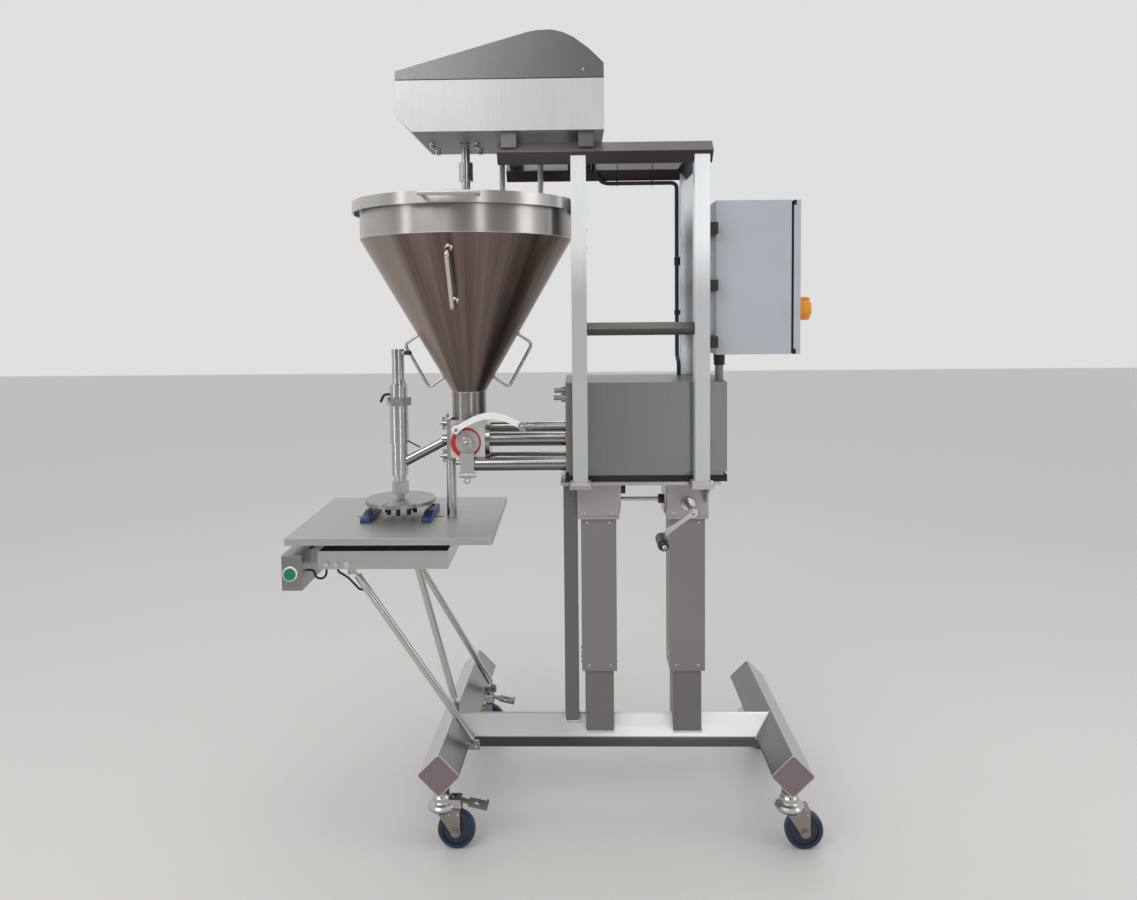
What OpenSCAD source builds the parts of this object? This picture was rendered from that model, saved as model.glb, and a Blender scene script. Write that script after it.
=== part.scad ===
// Food depositor on a wheeled lifting stand: hopper with agitator, quarter-turn
// valve and piston pump, filling nozzle over a small work table, control cabinet.
// Millimetres. X right, Y away from the viewer, Z up, floor at Z = 0.

/* [Base] */
// side of the square base tubes, set on edge
leg_tube = 80; // [60:1:100]
// side of the square beam between the legs, set on edge
beam_tube = 76; // [60:1:78]
// wall of the base tubes
leg_wall = 4; // [2:0.5:6]
// edge radius of the base tubes
leg_round = 7; // [5:0.5:10]
// height of the base tube centre lines
leg_z = 213; // [205:1:240]
// front end of both legs
leg_front = -250; // [-320:1:-240]
// rear end of the left leg
left_leg_back = 430; // [400:1:480]
// rear end of the right leg
right_leg_back = 340; // [320:1:420]
// left leg centre where the beam meets it
left_leg_x = -352; // [-380:1:-340]
// right leg centre
right_leg_x = 553; // [520:1:600]
// small toe-in of the left leg, degrees
left_leg_skew = 2.7; // [0:0.1:4]

/* [Casters] */
// wheel radius
wheel_r = 50; // [45:1:52]
// wheel width
wheel_w = 30; // [24:1:32]
// distance from swivel axis to wheel axle
caster_trail = 38; // [30:1:42]
// caster position in from the end of a leg
caster_inset = 42; // [36:1:60]
// radius of the swivel head
swivel_r = 38; // [32:1:42]

/* [Lift] */
// outside width of the lower (inner) columns
inner_w = 80; // [70:1:84]
// outside width of the moving sleeves
outer_w = 98; // [94:1:104]
// column wall
col_wall = 4; // [3:0.5:5]
// left column centre
col_x1 = 62; // [55:1:70]
// right column centre
col_x2 = 308; // [300:1:316]
// lower end of the sleeves
sleeve_bottom = 404; // [390:1:430]
// underside of the gear heads
head_bottom = 838; // [820:1:850]
// top of the gear heads
head_top = 941; // [935:1:950]
// width of the gear heads
head_w = 114; // [108:1:120]
// height of the crank and cross shaft axis
gear_z = 882; // [876:1:888]

/* [Crank] */
// crank arm length
crank_len = 108; // [80:1:130]
// crank arm angle, degrees from straight down
crank_turn = 53; // [0:1:90]
// grip length
grip_len = 88; // [70:1:110]
// grip radius
grip_r = 15; // [12:0.5:18]
// width of the crank arm
arm_w = 12; // [10:1:18]

/* [Upper frame] */
// side of the upright tubes
upright = 40; // [36:1:42]
// wall of the upright tubes
upright_wall = 3; // [2:0.5:5]
// left uprights
upright_x1 = 12; // [6:1:16]
// right uprights
upright_x2 = 336; // [332:1:342]
// front uprights
upright_yf = -125; // [-130:1:-124]
// rear uprights
upright_yr = 185; // [184:1:196]
// height of the top rail centre lines
rail_z = 1830; // [1800:1:1834]
// left end of the top frame
frame_x0 = -163; // [-190:1:-150]

/* [Hood] */
// left end of the drive hood
hood_x0 = -460; // [-480:1:-450]
// right end of the drive hood
hood_x1 = 80; // [70:1:90]
// underside of the drive hood
hood_z = 1883; // [1880:1:1890]
// height of the drive hood
hood_h = 256; // [240:1:280]
// depth of the drive hood
hood_d = 330; // [310:1:350]

/* [Hopper] */
// hopper, valve and agitator axis
hopper_x = -300; // [-302:1:-298]
// outside radius of the straight band
band_r = 292; // [280:1:296]
// outside radius of the lid
lid_r = 312; // [306:1:320]
// lower end of the band
cone_top = 1614; // [1600:1:1630]
// lower end of the cone
cone_bottom = 1193; // [1180:1:1200]
// neck radius
neck_r = 48; // [44:1:50]
// top face of the lid
lid_top = 1714; // [1708:1:1720]
// sheet thickness of hopper and lid
sheet = 3; // [2:0.5:4]

/* [Pump] */
// width of the valve block
valve_w = 95; // [92:1:100]
// depth of the valve block
valve_d = 100; // [96:1:110]
// underside of the valve block
valve_z0 = 1012; // [1008:1:1016]
// top of the valve block
valve_z1 = 1114; // [1112:1:1120]
// rotor and pump axis height
rotor_z = 1055; // [1052:1:1058]
// rotor radius
rotor_r = 32; // [28:1:34]
// outside radius of the product cylinder
barrel_r = 20; // [19:0.5:22]
// bore radius of the product cylinder
bore_r = 17; // [15:0.5:17]
// height of the valve actuator rod
rod_z = 1100; // [1096:1:1104]
// radius of the lower carrier bars
bar_r = 19; // [16:0.5:20]

/* [Nozzle] */
// nozzle axis
nozzle_x = -500; // [-506:1:-496]
// spreader disc radius
disc_r = 99; // [90:1:105]
// underside of the spreader disc
disc_z = 877; // [875:1:882]

/* [Table] */
// left edge of the work table
table_x0 = -758; // [-770:1:-750]
// right edge of the work table
table_x1 = -217; // [-225:1:-205]
// front edge of the work table
table_y0 = -230; // [-234:1:-226]
// rear edge of the work table
table_y1 = 243; // [230:1:250]
// work surface height
table_z = 834; // [828:1:836]
// depth of the turned-down table edge
table_lip = 19; // [12:1:24]
// depth of the push button box
box_d = 190; // [120:1:200]
// length of the centring jaws
jaw_len = 160; // [120:1:180]
// width of the centring jaws
jaw_w = 26; // [24:1:32]

/* [Housing] */
// left face of the pump housing
house_x0 = -27; // [-30:1:-24]
// right face of the pump housing
house_x1 = 408; // [400:1:420]
// top of the pump housing
house_z1 = 1222; // [1210:1:1230]

/* [Cabinet] */
// left face of the control cabinet
cab_x0 = 378; // [374:1:384]
// depth of the cabinet body, left to right
cab_d = 206; // [190:1:215]
// underside of the cabinet
cab_z0 = 1295; // [1285:1:1305]
// top of the cabinet
cab_z1 = 1705; // [1690:1:1715]

/* [Hidden] */
// running clearance on the radius of pins and shafts
fit = 0.05;
// gap between pieces that move past each other
gap = 0.4;
// overlap that makes cuts clean
cut = 1;
half = leg_tube / sqrt(2);
hood_top = hood_z + hood_h;
// the beam lies a little lower than the legs
beam_drop = 1.5;
beam_z = leg_z - beam_drop;
wheel_top = 2 * wheel_r;
fork_z = wheel_top + 4;
crown_t = 6;
pad_z = 150;
pad_r = 20;
round_steps = 4;
king_r = 8;
axle_r = 5;
hub_r = 14;
tyre_t = 14;
// half section of a wheel: radius and distance from its middle
wheel_side = [[axle_r + fit, wheel_w / 2 + 2], [hub_r, wheel_w / 2 + 2], [hub_r + 1, wheel_w / 2 - 5],
  [wheel_r - tyre_t, wheel_w / 2 - 5], [wheel_r - tyre_t + 1, wheel_w / 2], [wheel_r - 5, wheel_w / 2],
  [wheel_r - 1.5, wheel_w / 2 - 3], [wheel_r - 0.4, wheel_w / 4], [wheel_r, wheel_w / 8]];
cheek_t = 4;
cheek_x = 16;
boss_r = 13;
boss_t = 5;
nut_r = 9;
lug_y = 14;
cheek_y = wheel_w / 2 + 3;
pedal_x = 44;
pedal_z = 128;
pedal_len = 80;
pedal_w = 34;
pedal_t = 6;
pedal_lip = 5;
pedal_neck = 28;
pedal_tilt = 12;
pedal_hub_r = 8;
pedal_hub_w = 20;
pedal_pin_r = 4;
pedal_hole_x = 50;
pedal_hole_r = 9;
head_lip = 3;
head_lip_h = 7;
bracket_t = 5;
bracket_h = 95;
bracket_y = 48;
knob_r = 13;
knob_z = 914;
bevel = 21.4;
bevel_in = 9.4;
// the crank wheel uses the inner part of the cone, the cross shaft wheel the outer part
bevel_mid = 15;
spindle_r = 10;
spindle_z = 500;
nut_z = 800;
cross_r = 6;
collar_r = 13;
crank_r = 8;
arm_t = 12;
pin_r = 5;
carriage_t = 9;
plinth_t = 18;
plinth_z = head_top + carriage_t + plinth_t;
carriage_z = head_top + carriage_t;
carriage_x0 = -42;
carriage_x1 = 392;
carriage_y0 = upright_yf - 30;
carriage_y1 = upright_yr + 30;
// the crank turns in front of the carriage plate
crank_y = carriage_y0 - 4;
house_y0 = upright_yf + upright / 2 + 2;
plate_y0 = house_y0 + 3;
ear_w = 60;
house_y1 = upright_yr - upright / 2 - 2;
house_t = 3;
cab_y0 = -105;
cab_y1 = 195;
cab_t = 3;
cab_x1 = cab_x0 + cab_d;
door_t = 18;
door_x = cab_x1 + gap;
hinge_y = cab_y1 + 8;
hinge_x = cab_x1 + 6;
switch_y = -45;
switch_up = 121;
switch_z = cab_z0 + switch_up;
switch_r = 31.5;
switch_l = 38;
switch_edge = 5;
valve_x0 = hopper_x - valve_w / 2;
valve_x1 = hopper_x + valve_w / 2;
face_y = -valve_d / 2;
pin_h = 38;
keeper_r = 33;
keeper_t = 8;
sign_r = 42;
pin_x = -28.5;
rod_y = -74;
rod_r = 7;
lid_split = -45;
lid_hinge_z = lid_top + 4;
lid_pin_r = 3;
lid_barrel_r = 6;
lid_swing_gap = 5;
skirt_gap = 24;
// clearance of the lid edge around the upright
lid_relief = 2;
lid_back = 17;
lid_rod_xs = [-205, -95];
lid_rod_y = 80;
lid_rod_r = 8;
agit_r = 12;
paddle_top = 1640;
bar_y = 45;
bar_z = 992;
upper_bar_y = 80;
stub_r = 6;
keeper_y = -bar_y - bar_r - 2;
upper_bar_z = 1079;
flange_t = 10;
out_r = 14;
tip_r = 11.5;
plunger_r = 14;
disc_t = 10;
outlets = 8;
outlet_ring = 40;
outlet_l = 31;
// nozzle heights, from the tip up
tip_top = 904;
hex_top = 938;
neck_top = 956;
lower_top = 1046;
upper_top = 1154;
union_top = 1177;
collar_top = 1213;
piston_tube_top = 1292;
cap_top = 1312;
post_r = 14;
post_x = valve_x0;
table_t = 3;
under_x0 = -680;
under_x1 = -337;
under_y = 200;
under_z = 744;
tray_h = 48;
tray_top = under_z + tray_h;
tray_t = 3;
tray_bolts = [-657, -632, -603];
bearer_y = 110;
bearer_t = 8;
box_x0 = -765;
box_x1 = -712;
box_y0 = -235;
box_y1 = box_y0 + box_d;
box_t = 2.5;
bezel_r = 19;
bezel_t = 5;
box_z0 = 698;
box_z1 = 791;
button_x = -742;
button_z = 743;
button_r = 15;
jaw_off = 85;
jaw_slot = 12;
slot_end = 10;
jaw_h = 22;
jaw_nose = 15;
tongue_l = 16;
jaw_travel = 28;
strut_r = 10;
strut_hole_s = 70;
lead_r = 3;
stud_r = 4;
shank_r = 3.2;
eye_r = 10;
strut_end = 20;
lug_w = 20;
eye_t = 8;
guide_w = 40;
guide_x = col_x1 - head_w / 2 - guide_w / 2 - 1;
guide_bar_w = 30;
guide_bar_l = 480;
// the box of the whole part, used to centre it on the origin
mid_x = (box_x0 + right_leg_x + caster_trail + wheel_r) / 2;
mid_y = (left_leg_back - lid_r - 45) / 2;

// puts a piece drawn in machine coordinates on the shared origin
module placed() translate([-mid_x, -mid_y, 0]) children();

// cylinder along Y from y0 to y1
module ycyl(x, z, r, y0, y1) translate([x, y0, z]) rotate([-90, 0, 0]) cylinder(r = r, h = y1 - y0, $fn = 48);

// cylinder along X from x0 to x1
module xcyl(y, z, r, x0, x1) translate([x0, y, z]) rotate([0, 90, 0]) cylinder(r = r, h = x1 - x0, $fn = 48);

// cylinder along Z from z0 to z1
module zcyl(x, y, r, z0, z1) translate([x, y, z0]) cylinder(r = r, h = z1 - z0, $fn = 48);

// box from corner a to corner b
module span(a, b) translate(a) cube([b[0] - a[0], b[1] - a[1], b[2] - a[2]]);

// corner points of a square of side w with its edges rounded by r
function soft_square(w, r) = [for (c = [0:3]) for (k = [0:round_steps])
  let (a = 90 * (c + k / round_steps), q = w / 2 - r, sx = c == 0 || c == 3 ? 1 : -1, sy = c < 2 ? 1 : -1)
  [sx * q + r * cos(a), sy * q + r * sin(a)]];

// square tube section on edge, rounded by r
module edge_section(w, r) rotate(45) polygon(soft_square(w, r));

// square bar on edge along Y at the height of the legs
module edge_y(w, r, y0, y1) translate([0, y0, leg_z]) rotate([-90, 0, 0]) linear_extrude(y1 - y0)
  edge_section(w, r);

// sharp square bar on edge along Y, for the saddle cuts of the beam
module saddle_y(w, y0, y1) translate([0, y0, leg_z]) rotate([-90, 0, 0]) linear_extrude(y1 - y0)
  rotate(45) square(w, center = true);

// sharp square bar on edge along X
module edge_x(w, x0, x1, y, z) translate([x0, y, z]) rotate([45, 0, 0])
  translate([0, -w / 2, -w / 2]) cube([x1 - x0, w, w]);

// outside of the beam between the legs
module beam_outside(w, r, grow) translate([left_leg_x - grow, 0, beam_z]) rotate([90, 0, 90])
  linear_extrude(right_leg_x - left_leg_x + 2 * grow) edge_section(w, r);

// round bar from a to b
module rod(a, b, r) {
  v = b - a;
  l = norm(v);
  translate(a) rotate([0, acos(v[2] / l), atan2(v[1], v[0])]) cylinder(r = r, h = l, $fn = 32);
}

// unit vector across the path at point i
function heading(p, i) = let (a = p[max(i - 1, 0)], b = p[min(i + 1, len(p) - 1)]) (b - a) / norm(b - a);
function side(t) = let (c = cross(t, [0.31, 0.42, 0.85])) c / norm(c);

// bent round bar swept along points p with radius r and n sides
module bent(p, r, n) {
  m = len(p);
  pts = [for (i = [0:m - 1]) let (t = heading(p, i), u = side(t), v = cross(t, u))
    for (k = [0:n - 1]) p[i] + r * (cos(360 * k / n) * u + sin(360 * k / n) * v)];
  sides = [for (i = [0:m - 2]) for (k = [0:n - 1]) let (a = i * n + k, b = i * n + (k + 1) % n)
    [b, a, a + n, b + n]];
  first = [for (k = [0:n - 1]) k];
  last = [for (k = [0:n - 1]) m * n - 1 - k];
  polyhedron(points = pts, faces = concat(sides, [first], [last]), convexity = 6);
}

// point list with every inner corner rounded by an arc of s steps
function rounded(p, d, s) = concat([p[0]], [for (i = [1:len(p) - 2])
  let (a = p[i] + d * (p[i - 1] - p[i]) / norm(p[i - 1] - p[i]),
       b = p[i] + d * (p[i + 1] - p[i]) / norm(p[i + 1] - p[i]))
  for (k = [0:s]) let (t = k / s) (1 - t) * (1 - t) * a + 2 * t * (1 - t) * p[i] + t * t * b],
  [p[len(p) - 1]]);

// base
module left_frame() translate([left_leg_x, 0, 0]) rotate([0, 0, -left_leg_skew]) children();
module right_frame() translate([right_leg_x, 0, 0]) children();

// one hollow leg with its caster pads and king pins
module leg(y1) {
  difference() {
    union() {
      edge_y(leg_tube, leg_round, leg_front, y1);
      for (y = [leg_front + caster_inset, y1 - caster_inset]) zcyl(0, y, pad_r, pad_z, leg_z);
    }
    edge_y(leg_tube - 2 * leg_wall, max(leg_round - leg_wall, 1), leg_front + leg_wall, y1 - leg_wall);
    zcyl(0, leg_front + 3 * caster_inset, leg_wall, pad_z, leg_z);
  }
  for (y = [leg_front + caster_inset, y1 - caster_inset]) zcyl(0, y, king_r, fork_z + crown_t, pad_z + leg_wall);
}

strut_f = [[-602, -150, 728], [left_leg_x + half + 13.5, -100, leg_z + 6]];
strut_r_ends = [[-525, 150, 728], [left_leg_x + half + 27, 250, leg_z + 6]];
strut_m = [[-467, 0, 728], [left_leg_x, 0, leg_z + half + 14]];

// where the button cable goes into the hollow front strut
strut_hole = strut_f[0] + [0, eye_t / 2, 0] + strut_hole_s * (strut_f[1] - strut_f[0]) / norm(strut_f[1] - strut_f[0]);

module left_leg() color("lightgray") {
  left_frame() leg(left_leg_back);
  for (e = [strut_f[1], strut_r_ends[1]]) difference() {
    span([e[0] - 44, e[1] - 10, e[2] - lug_w / 2], [e[0] + lug_w / 2, e[1], e[2] + stud_r + 2]);
    ycyl(e[0], e[2], stud_r + fit, e[1] - 10 - cut, e[1] + cut);
  }
  difference() {
    span([strut_m[1][0] - lug_w / 2, -10, leg_z + half - 14], [strut_m[1][0] + lug_w / 2, 0, strut_m[1][2] + lug_w / 2]);
    ycyl(strut_m[1][0], strut_m[1][2], stud_r + fit, -10 - cut, cut);
    beam_outside(beam_tube, leg_round, 0);
  }
}

module right_leg() color("lightgray") right_frame() leg(right_leg_back);

module cross_beam() color("lightgray") difference() {
  beam_outside(beam_tube, leg_round, 0);
  beam_outside(beam_tube - 2 * leg_wall, max(leg_round - leg_wall, 1), cut);
  left_frame() saddle_y(leg_tube, leg_front, left_leg_back);
  right_frame() saddle_y(leg_tube, leg_front, right_leg_back);
}

module lower_columns() color("silver") for (x = [col_x1, col_x2]) difference() {
  span([x - inner_w / 2, -inner_w / 2, leg_z], [x + inner_w / 2, inner_w / 2, nut_z]);
  span([x - inner_w / 2 + col_wall, -inner_w / 2 + col_wall, leg_z - cut],
    [x + inner_w / 2 - col_wall, inner_w / 2 - col_wall, nut_z - 30]);
  zcyl(x, 0, spindle_r + gap, nut_z - 31, nut_z + cut);
  beam_outside(beam_tube, leg_round, 0);
}

module guide_post() color("lightgray") difference() {
  span([guide_x - guide_w / 2, -guide_w / 2, leg_z], [guide_x + guide_w / 2, guide_w / 2, head_top - 15]);
  span([guide_x - guide_w / 2 + 3, -guide_w / 2 + 3, leg_z - cut],
    [guide_x + guide_w / 2 - 3, guide_w / 2 - 3, head_top]);
  beam_outside(beam_tube, leg_round, 0);
}

// casters
// fork seen from its own swivel axis, with a domed swivel head
module fork(brake) difference() {
  union() {
    rotate_extrude($fn = 64) polygon([[0, fork_z], [swivel_r - 6, fork_z], [swivel_r, fork_z + 7],
      [swivel_r, fork_z + 13], [swivel_r - 5, fork_z + 18], [pad_r + 7, fork_z + 22], [pad_r + 4, fork_z + 25],
      [pad_r + 4, fork_z + 35], [pad_r, fork_z + 40],
      [pad_r, pad_z - gap], [0, pad_z - gap]]);
    span([-cheek_x, -cheek_y - cheek_t, fork_z], [caster_trail + boss_r, cheek_y + cheek_t, fork_z + crown_t]);
    for (s = [-1, 1]) translate([0, s * (cheek_y + cheek_t / 2), 0]) rotate([90, 0, 0])
      translate([0, 0, -cheek_t / 2]) linear_extrude(cheek_t)
      polygon([[-cheek_x, fork_z + crown_t], [caster_trail + boss_r, fork_z + crown_t],
        [caster_trail + boss_r - 0.5, wheel_r], [caster_trail - boss_r + 3, wheel_r - 6]]);
    for (s = [-1, 1]) translate([caster_trail, s * (cheek_y + boss_t / 2 + 0.5), wheel_r]) rotate([90, 0, 0])
      cylinder(r = boss_r, h = boss_t, center = true, $fn = 48);
    ycyl(caster_trail, wheel_r, axle_r, -cheek_y - cheek_t - 5, cheek_y + cheek_t + 5);
    for (s = [-1, 1]) translate([caster_trail, s * (cheek_y + cheek_t + 2.5), wheel_r]) rotate([90, 0, 0])
      cylinder(r = nut_r, h = 4, center = true, $fn = 6);
    if (brake) for (s = [-1, 1])
      span([cheek_x, s * lug_y - 3, fork_z + 2], [pedal_x + 8, s * lug_y + 3, pedal_z + 7]);
    if (brake) ycyl(pedal_x, pedal_z, pedal_pin_r, -lug_y - 1, lug_y + 1);
  }
  zcyl(0, 0, king_r + fit, fork_z - cut, pad_z);
}

// wheel with tread, drawn about its own axle
module wheel() rotate([90, 0, 0]) rotate_extrude($fn = 64) polygon(concat(
  [for (p = wheel_side) [p[0], -p[1]]], [for (i = [len(wheel_side) - 1:-1:0]) wheel_side[i]]));

// pedal with its pivot hub
module pedal() difference() {
  union() {
    ycyl(pedal_x, pedal_z, pedal_hub_r, -pedal_hub_w / 2, pedal_hub_w / 2);
    translate([pedal_x, 0, pedal_z]) rotate([0, pedal_tilt, 0]) {
      span([pedal_hub_r / 2, -pedal_hub_w / 2 + 2, -pedal_t / 2 + 0.5],
        [pedal_neck + 2, pedal_hub_w / 2 - 2, pedal_t / 2 - 0.5]);
      translate([0, pedal_w / 2, 0]) rotate([90, 0, 0]) linear_extrude(pedal_w)
        polygon([[pedal_neck, -pedal_t / 2], [pedal_len, -pedal_t / 2], [pedal_len, pedal_t / 2 + pedal_lip],
          [pedal_len - pedal_t, pedal_t / 2 + pedal_lip], [pedal_len - pedal_t, pedal_t / 2],
          [pedal_neck, pedal_t / 2]]);
    }
  }
  translate([pedal_x, 0, pedal_z]) rotate([0, pedal_tilt, 0]) translate([pedal_hole_x, 0, -pedal_t])
    cylinder(r = pedal_hole_r, h = 2 * pedal_t, $fn = 32);
  ycyl(pedal_x, pedal_z, pedal_pin_r + fit, -pedal_hub_w / 2 - cut, pedal_hub_w / 2 + cut);
}

module at_fl() left_frame() translate([0, leg_front + caster_inset, 0]) children();
module at_bl() left_frame() translate([0, left_leg_back - caster_inset, 0]) children();
module at_fr() right_frame() translate([0, leg_front + caster_inset, 0]) children();
module at_br() right_frame() translate([0, right_leg_back - caster_inset, 0]) children();
module on_axle() translate([caster_trail, 0, wheel_r]) children();

module caster_fork_fl() color("gray") at_fl() fork(true);
module caster_fork_bl() color("gray") at_bl() fork(true);
module caster_fork_fr() color("gray") at_fr() fork(false);
module caster_fork_br() color("gray") at_br() fork(false);
module caster_wheel_fl() color("navy") at_fl() on_axle() wheel();
module caster_wheel_bl() color("navy") at_bl() on_axle() wheel();
module caster_wheel_fr() color("navy") at_fr() on_axle() wheel();
module caster_wheel_br() color("navy") at_br() on_axle() wheel();
module brake_pedal_fl() color("gray") at_fl() pedal();
module brake_pedal_bl() color("gray") at_bl() pedal();

// table
module table_top() color("gainsboro") difference() {
  span([table_x0, table_y0, table_z - table_lip], [table_x1, table_y1, table_z]);
  span([table_x0 + table_t, table_y0 + table_t, table_z - table_lip - cut],
    [table_x1 - table_t, table_y1 - table_t, table_z - table_t]);
  for (m = [0, 1]) translate([nozzle_x, 0, 0]) mirror([m, 0, 0])
    span([jaw_off - slot_end, -jaw_slot / 2, table_z - table_t - cut],
      [jaw_off + jaw_travel + slot_end, jaw_slot / 2, table_z + cut]);
}

// lug under the table frame that takes a strut end
module under_lug(e) difference() {
  span([e[0] - lug_w / 2, e[1] - 10, e[2] - lug_w / 2], [e[0] + lug_w / 2, e[1], under_z + cut]);
  ycyl(e[0], e[2], stud_r + fit, e[1] - 10 - cut, e[1] + cut);
}

// open tray under the table with two bearers that carry the table
module table_frame() color("darkgray") {
  difference() {
    span([under_x0, -under_y, under_z], [under_x1, under_y, tray_top]);
    span([under_x0 + tray_t, -under_y + tray_t, under_z + tray_t],
      [under_x1 - tray_t, under_y - tray_t, tray_top + cut]);
  }
  for (y = [-bearer_y, bearer_y]) span([under_x0 + tray_t - cut, y - bearer_t / 2, under_z + tray_t - cut],
    [under_x1 - tray_t + cut, y + bearer_t / 2, table_z - table_t]);
  span([box_x1, -under_y + 40, under_z + 6], [under_x0 + cut, -under_y + 75, tray_top - 6]);
  for (e = [strut_f[0], strut_m[0], strut_r_ends[0]]) under_lug(e);
  for (x = tray_bolts) ycyl(x, under_z + 13, 5.5, -under_y - 6, -under_y + cut);
  translate([tray_bolts[2], -under_y - 2, under_z + 13]) rotate([90, 0, 0]) cylinder(r = nut_r, h = 4, center = true, $fn = 6);
}

// round strut with an eye at each end, both eyes lying in planes across Y
module strut(a, b) {
  ea = a + [0, eye_t / 2, 0];
  eb = b + [0, eye_t / 2, 0];
  u = (eb - ea) / norm(eb - ea);
  for (e = [a, b]) difference() {
    ycyl(e[0], e[2], eye_r, e[1], e[1] + eye_t);
    ycyl(e[0], e[2], stud_r + fit, e[1] - cut, e[1] + eye_t + cut);
  }
  for (e = [a, b]) {
    ycyl(e[0], e[2], stud_r, e[1] - 13, e[1] + eye_t + 3);
    ycyl(e[0], e[2], 7, e[1] + eye_t, e[1] + eye_t + 5);
  }
  rod(ea + 7 * u, ea + (strut_end + 4) * u, shank_r);
  rod(ea + strut_end * u, eb - strut_end * u, strut_r);
  rod(eb - (strut_end + 4) * u, eb - 7 * u, shank_r);
}

module strut_front() color("silver") difference() {
  strut(strut_f[0], strut_f[1]);
  xcyl(strut_hole[1], strut_hole[2], lead_r + 1, strut_hole[0] - 2 * strut_r, strut_hole[0]);
}
module strut_mid() color("silver") strut(strut_m[0], strut_m[1]);
module strut_rear() color("silver") strut(strut_r_ends[0], strut_r_ends[1]);

module button_box() color("gainsboro") difference() {
  union() {
    span([box_x0, box_y0, box_z0], [box_x1, box_y1, box_z1]);
    ycyl(button_x, button_z, bezel_r, box_y0 - bezel_t, box_y0 + cut);
  }
  span([box_x0 + box_t, box_y0 + box_t, box_z0 + box_t], [box_x1 - box_t, box_y1 - box_t, box_z1 - box_t]);
  ycyl(button_x, button_z, button_r, box_y0 - bezel_t - cut, box_y0 + 4 * box_t);
}

module green_button() color("green") {
  ycyl(button_x, button_z, button_r - fit, box_y0 - 9, box_y0 + 12);
  ycyl(button_x, button_z, button_r + 3, box_y0 + 2.5 + gap, box_y0 + 6);
}

// leads of the push button: box to tray, and tray to the hollow front strut
lead_a = rounded([[box_x1, -180, 736], [-698, -180, 736], [-690, -184, 716], [-672, -186, 714],
  [-662, -186, 726], [-662, -186, under_z]], 7, 4);
lead_b = rounded([[-632, -186, under_z], [-632, -186, 734], [-610, -168, 712], strut_hole - [21, 0, 0],
  strut_hole - [1, 0, 0]], 8, 4);
module table_cables() color("black") {
  bent(lead_a, lead_r, 8);
  bent(lead_b, lead_r, 8);
}

// centring jaw with a low nose, a cross hole and a tongue in the table slot
module jaw(s) translate([nozzle_x + s * jaw_off, 0, 0]) {
  difference() {
    translate([-jaw_w / 2, 0, table_z]) rotate([90, 0, 90]) linear_extrude(jaw_w)
      polygon([[-jaw_len / 2, gap], [jaw_len / 2, gap], [jaw_len / 2, jaw_nose], [jaw_len / 2 - 14, jaw_h],
        [-jaw_len / 8, jaw_h], [-jaw_len / 2 + 24, jaw_nose], [-jaw_len / 2 + 4, jaw_nose - 2], [-jaw_len / 2, jaw_nose - 6]]);
    xcyl(-jaw_len / 2 + 16, table_z + jaw_nose / 2, 4, -jaw_w, jaw_w);
    span([-jaw_w / 2 + 8, -jaw_len / 8, table_z + jaw_h - 4], [jaw_w / 2 - 8, jaw_len / 2 - 24, table_z + jaw_h + cut]);
  }
  span([-tongue_l / 2, -jaw_slot / 2 + 1, table_z - table_t - gap - cut], [tongue_l / 2, jaw_slot / 2 - 1, table_z + 2 * cut]);
  span([-tongue_l / 2 + 0.5, -jaw_slot / 2 - 8, table_z - table_t - gap - 6],
    [tongue_l / 2 - 0.5, jaw_slot / 2 + 8, table_z - table_t - gap]);
}
module jaw_left() color("royalblue") jaw(-1);
module jaw_right() color("royalblue") jaw(1);

// lift
module head(x) difference() {
  union() {
    span([x - head_w / 2, -head_w / 2, head_bottom], [x + head_w / 2, head_w / 2, head_top]);
    span([x - head_w / 2, -head_w / 2 - head_lip, head_bottom], [x + head_w / 2, head_w / 2 + head_lip, head_bottom + head_lip_h]);
  }
  span([x - head_w / 2 + 5, -head_w / 2 + 5, head_bottom + 5], [x + head_w / 2 - 5, head_w / 2 - 5, head_top - 8]);
  span([x - outer_w / 2 + col_wall, -outer_w / 2 + col_wall, head_bottom - cut],
    [x + outer_w / 2 - col_wall, outer_w / 2 - col_wall, head_bottom + 5 + cut]);
  zcyl(x, 0, cross_r + fit, head_top - 9, head_top - 2);
}

module outer_columns() color("slategray") difference() {
  union() for (x = [col_x1, col_x2]) {
    difference() {
      span([x - outer_w / 2, -outer_w / 2, sleeve_bottom], [x + outer_w / 2, outer_w / 2, head_bottom]);
      span([x - outer_w / 2 + col_wall, -outer_w / 2 + col_wall, sleeve_bottom + 80],
        [x + outer_w / 2 - col_wall, outer_w / 2 - col_wall, head_bottom + cut]);
      span([x - inner_w / 2 - gap, -inner_w / 2 - gap, sleeve_bottom - cut],
        [x + inner_w / 2 + gap, inner_w / 2 + gap, sleeve_bottom + 80 + cut]);
    }
    head(x);
  }
  xcyl(0, gear_z, cross_r + fit, col_x1 + head_w / 2 - 6, col_x2 - head_w / 2 + 6);
  ycyl(col_x2, gear_z, crank_r + fit, -head_w / 2 - cut, -head_w / 2 + 6);
}

// screw spindle with its bevel wheel
module spindle(x) {
  zcyl(x, 0, spindle_r, spindle_z, gear_z - bevel);
  translate([x, 0, gear_z - bevel - 0.6]) cylinder(r1 = bevel, r2 = bevel_in, h = bevel - bevel_in, $fn = 48);
  zcyl(x, 0, cross_r, gear_z - bevel_in - 2, head_top - 3);
}
module spindle_left() color("silver") spindle(col_x1);
module spindle_right() color("silver") spindle(col_x2);

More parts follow.
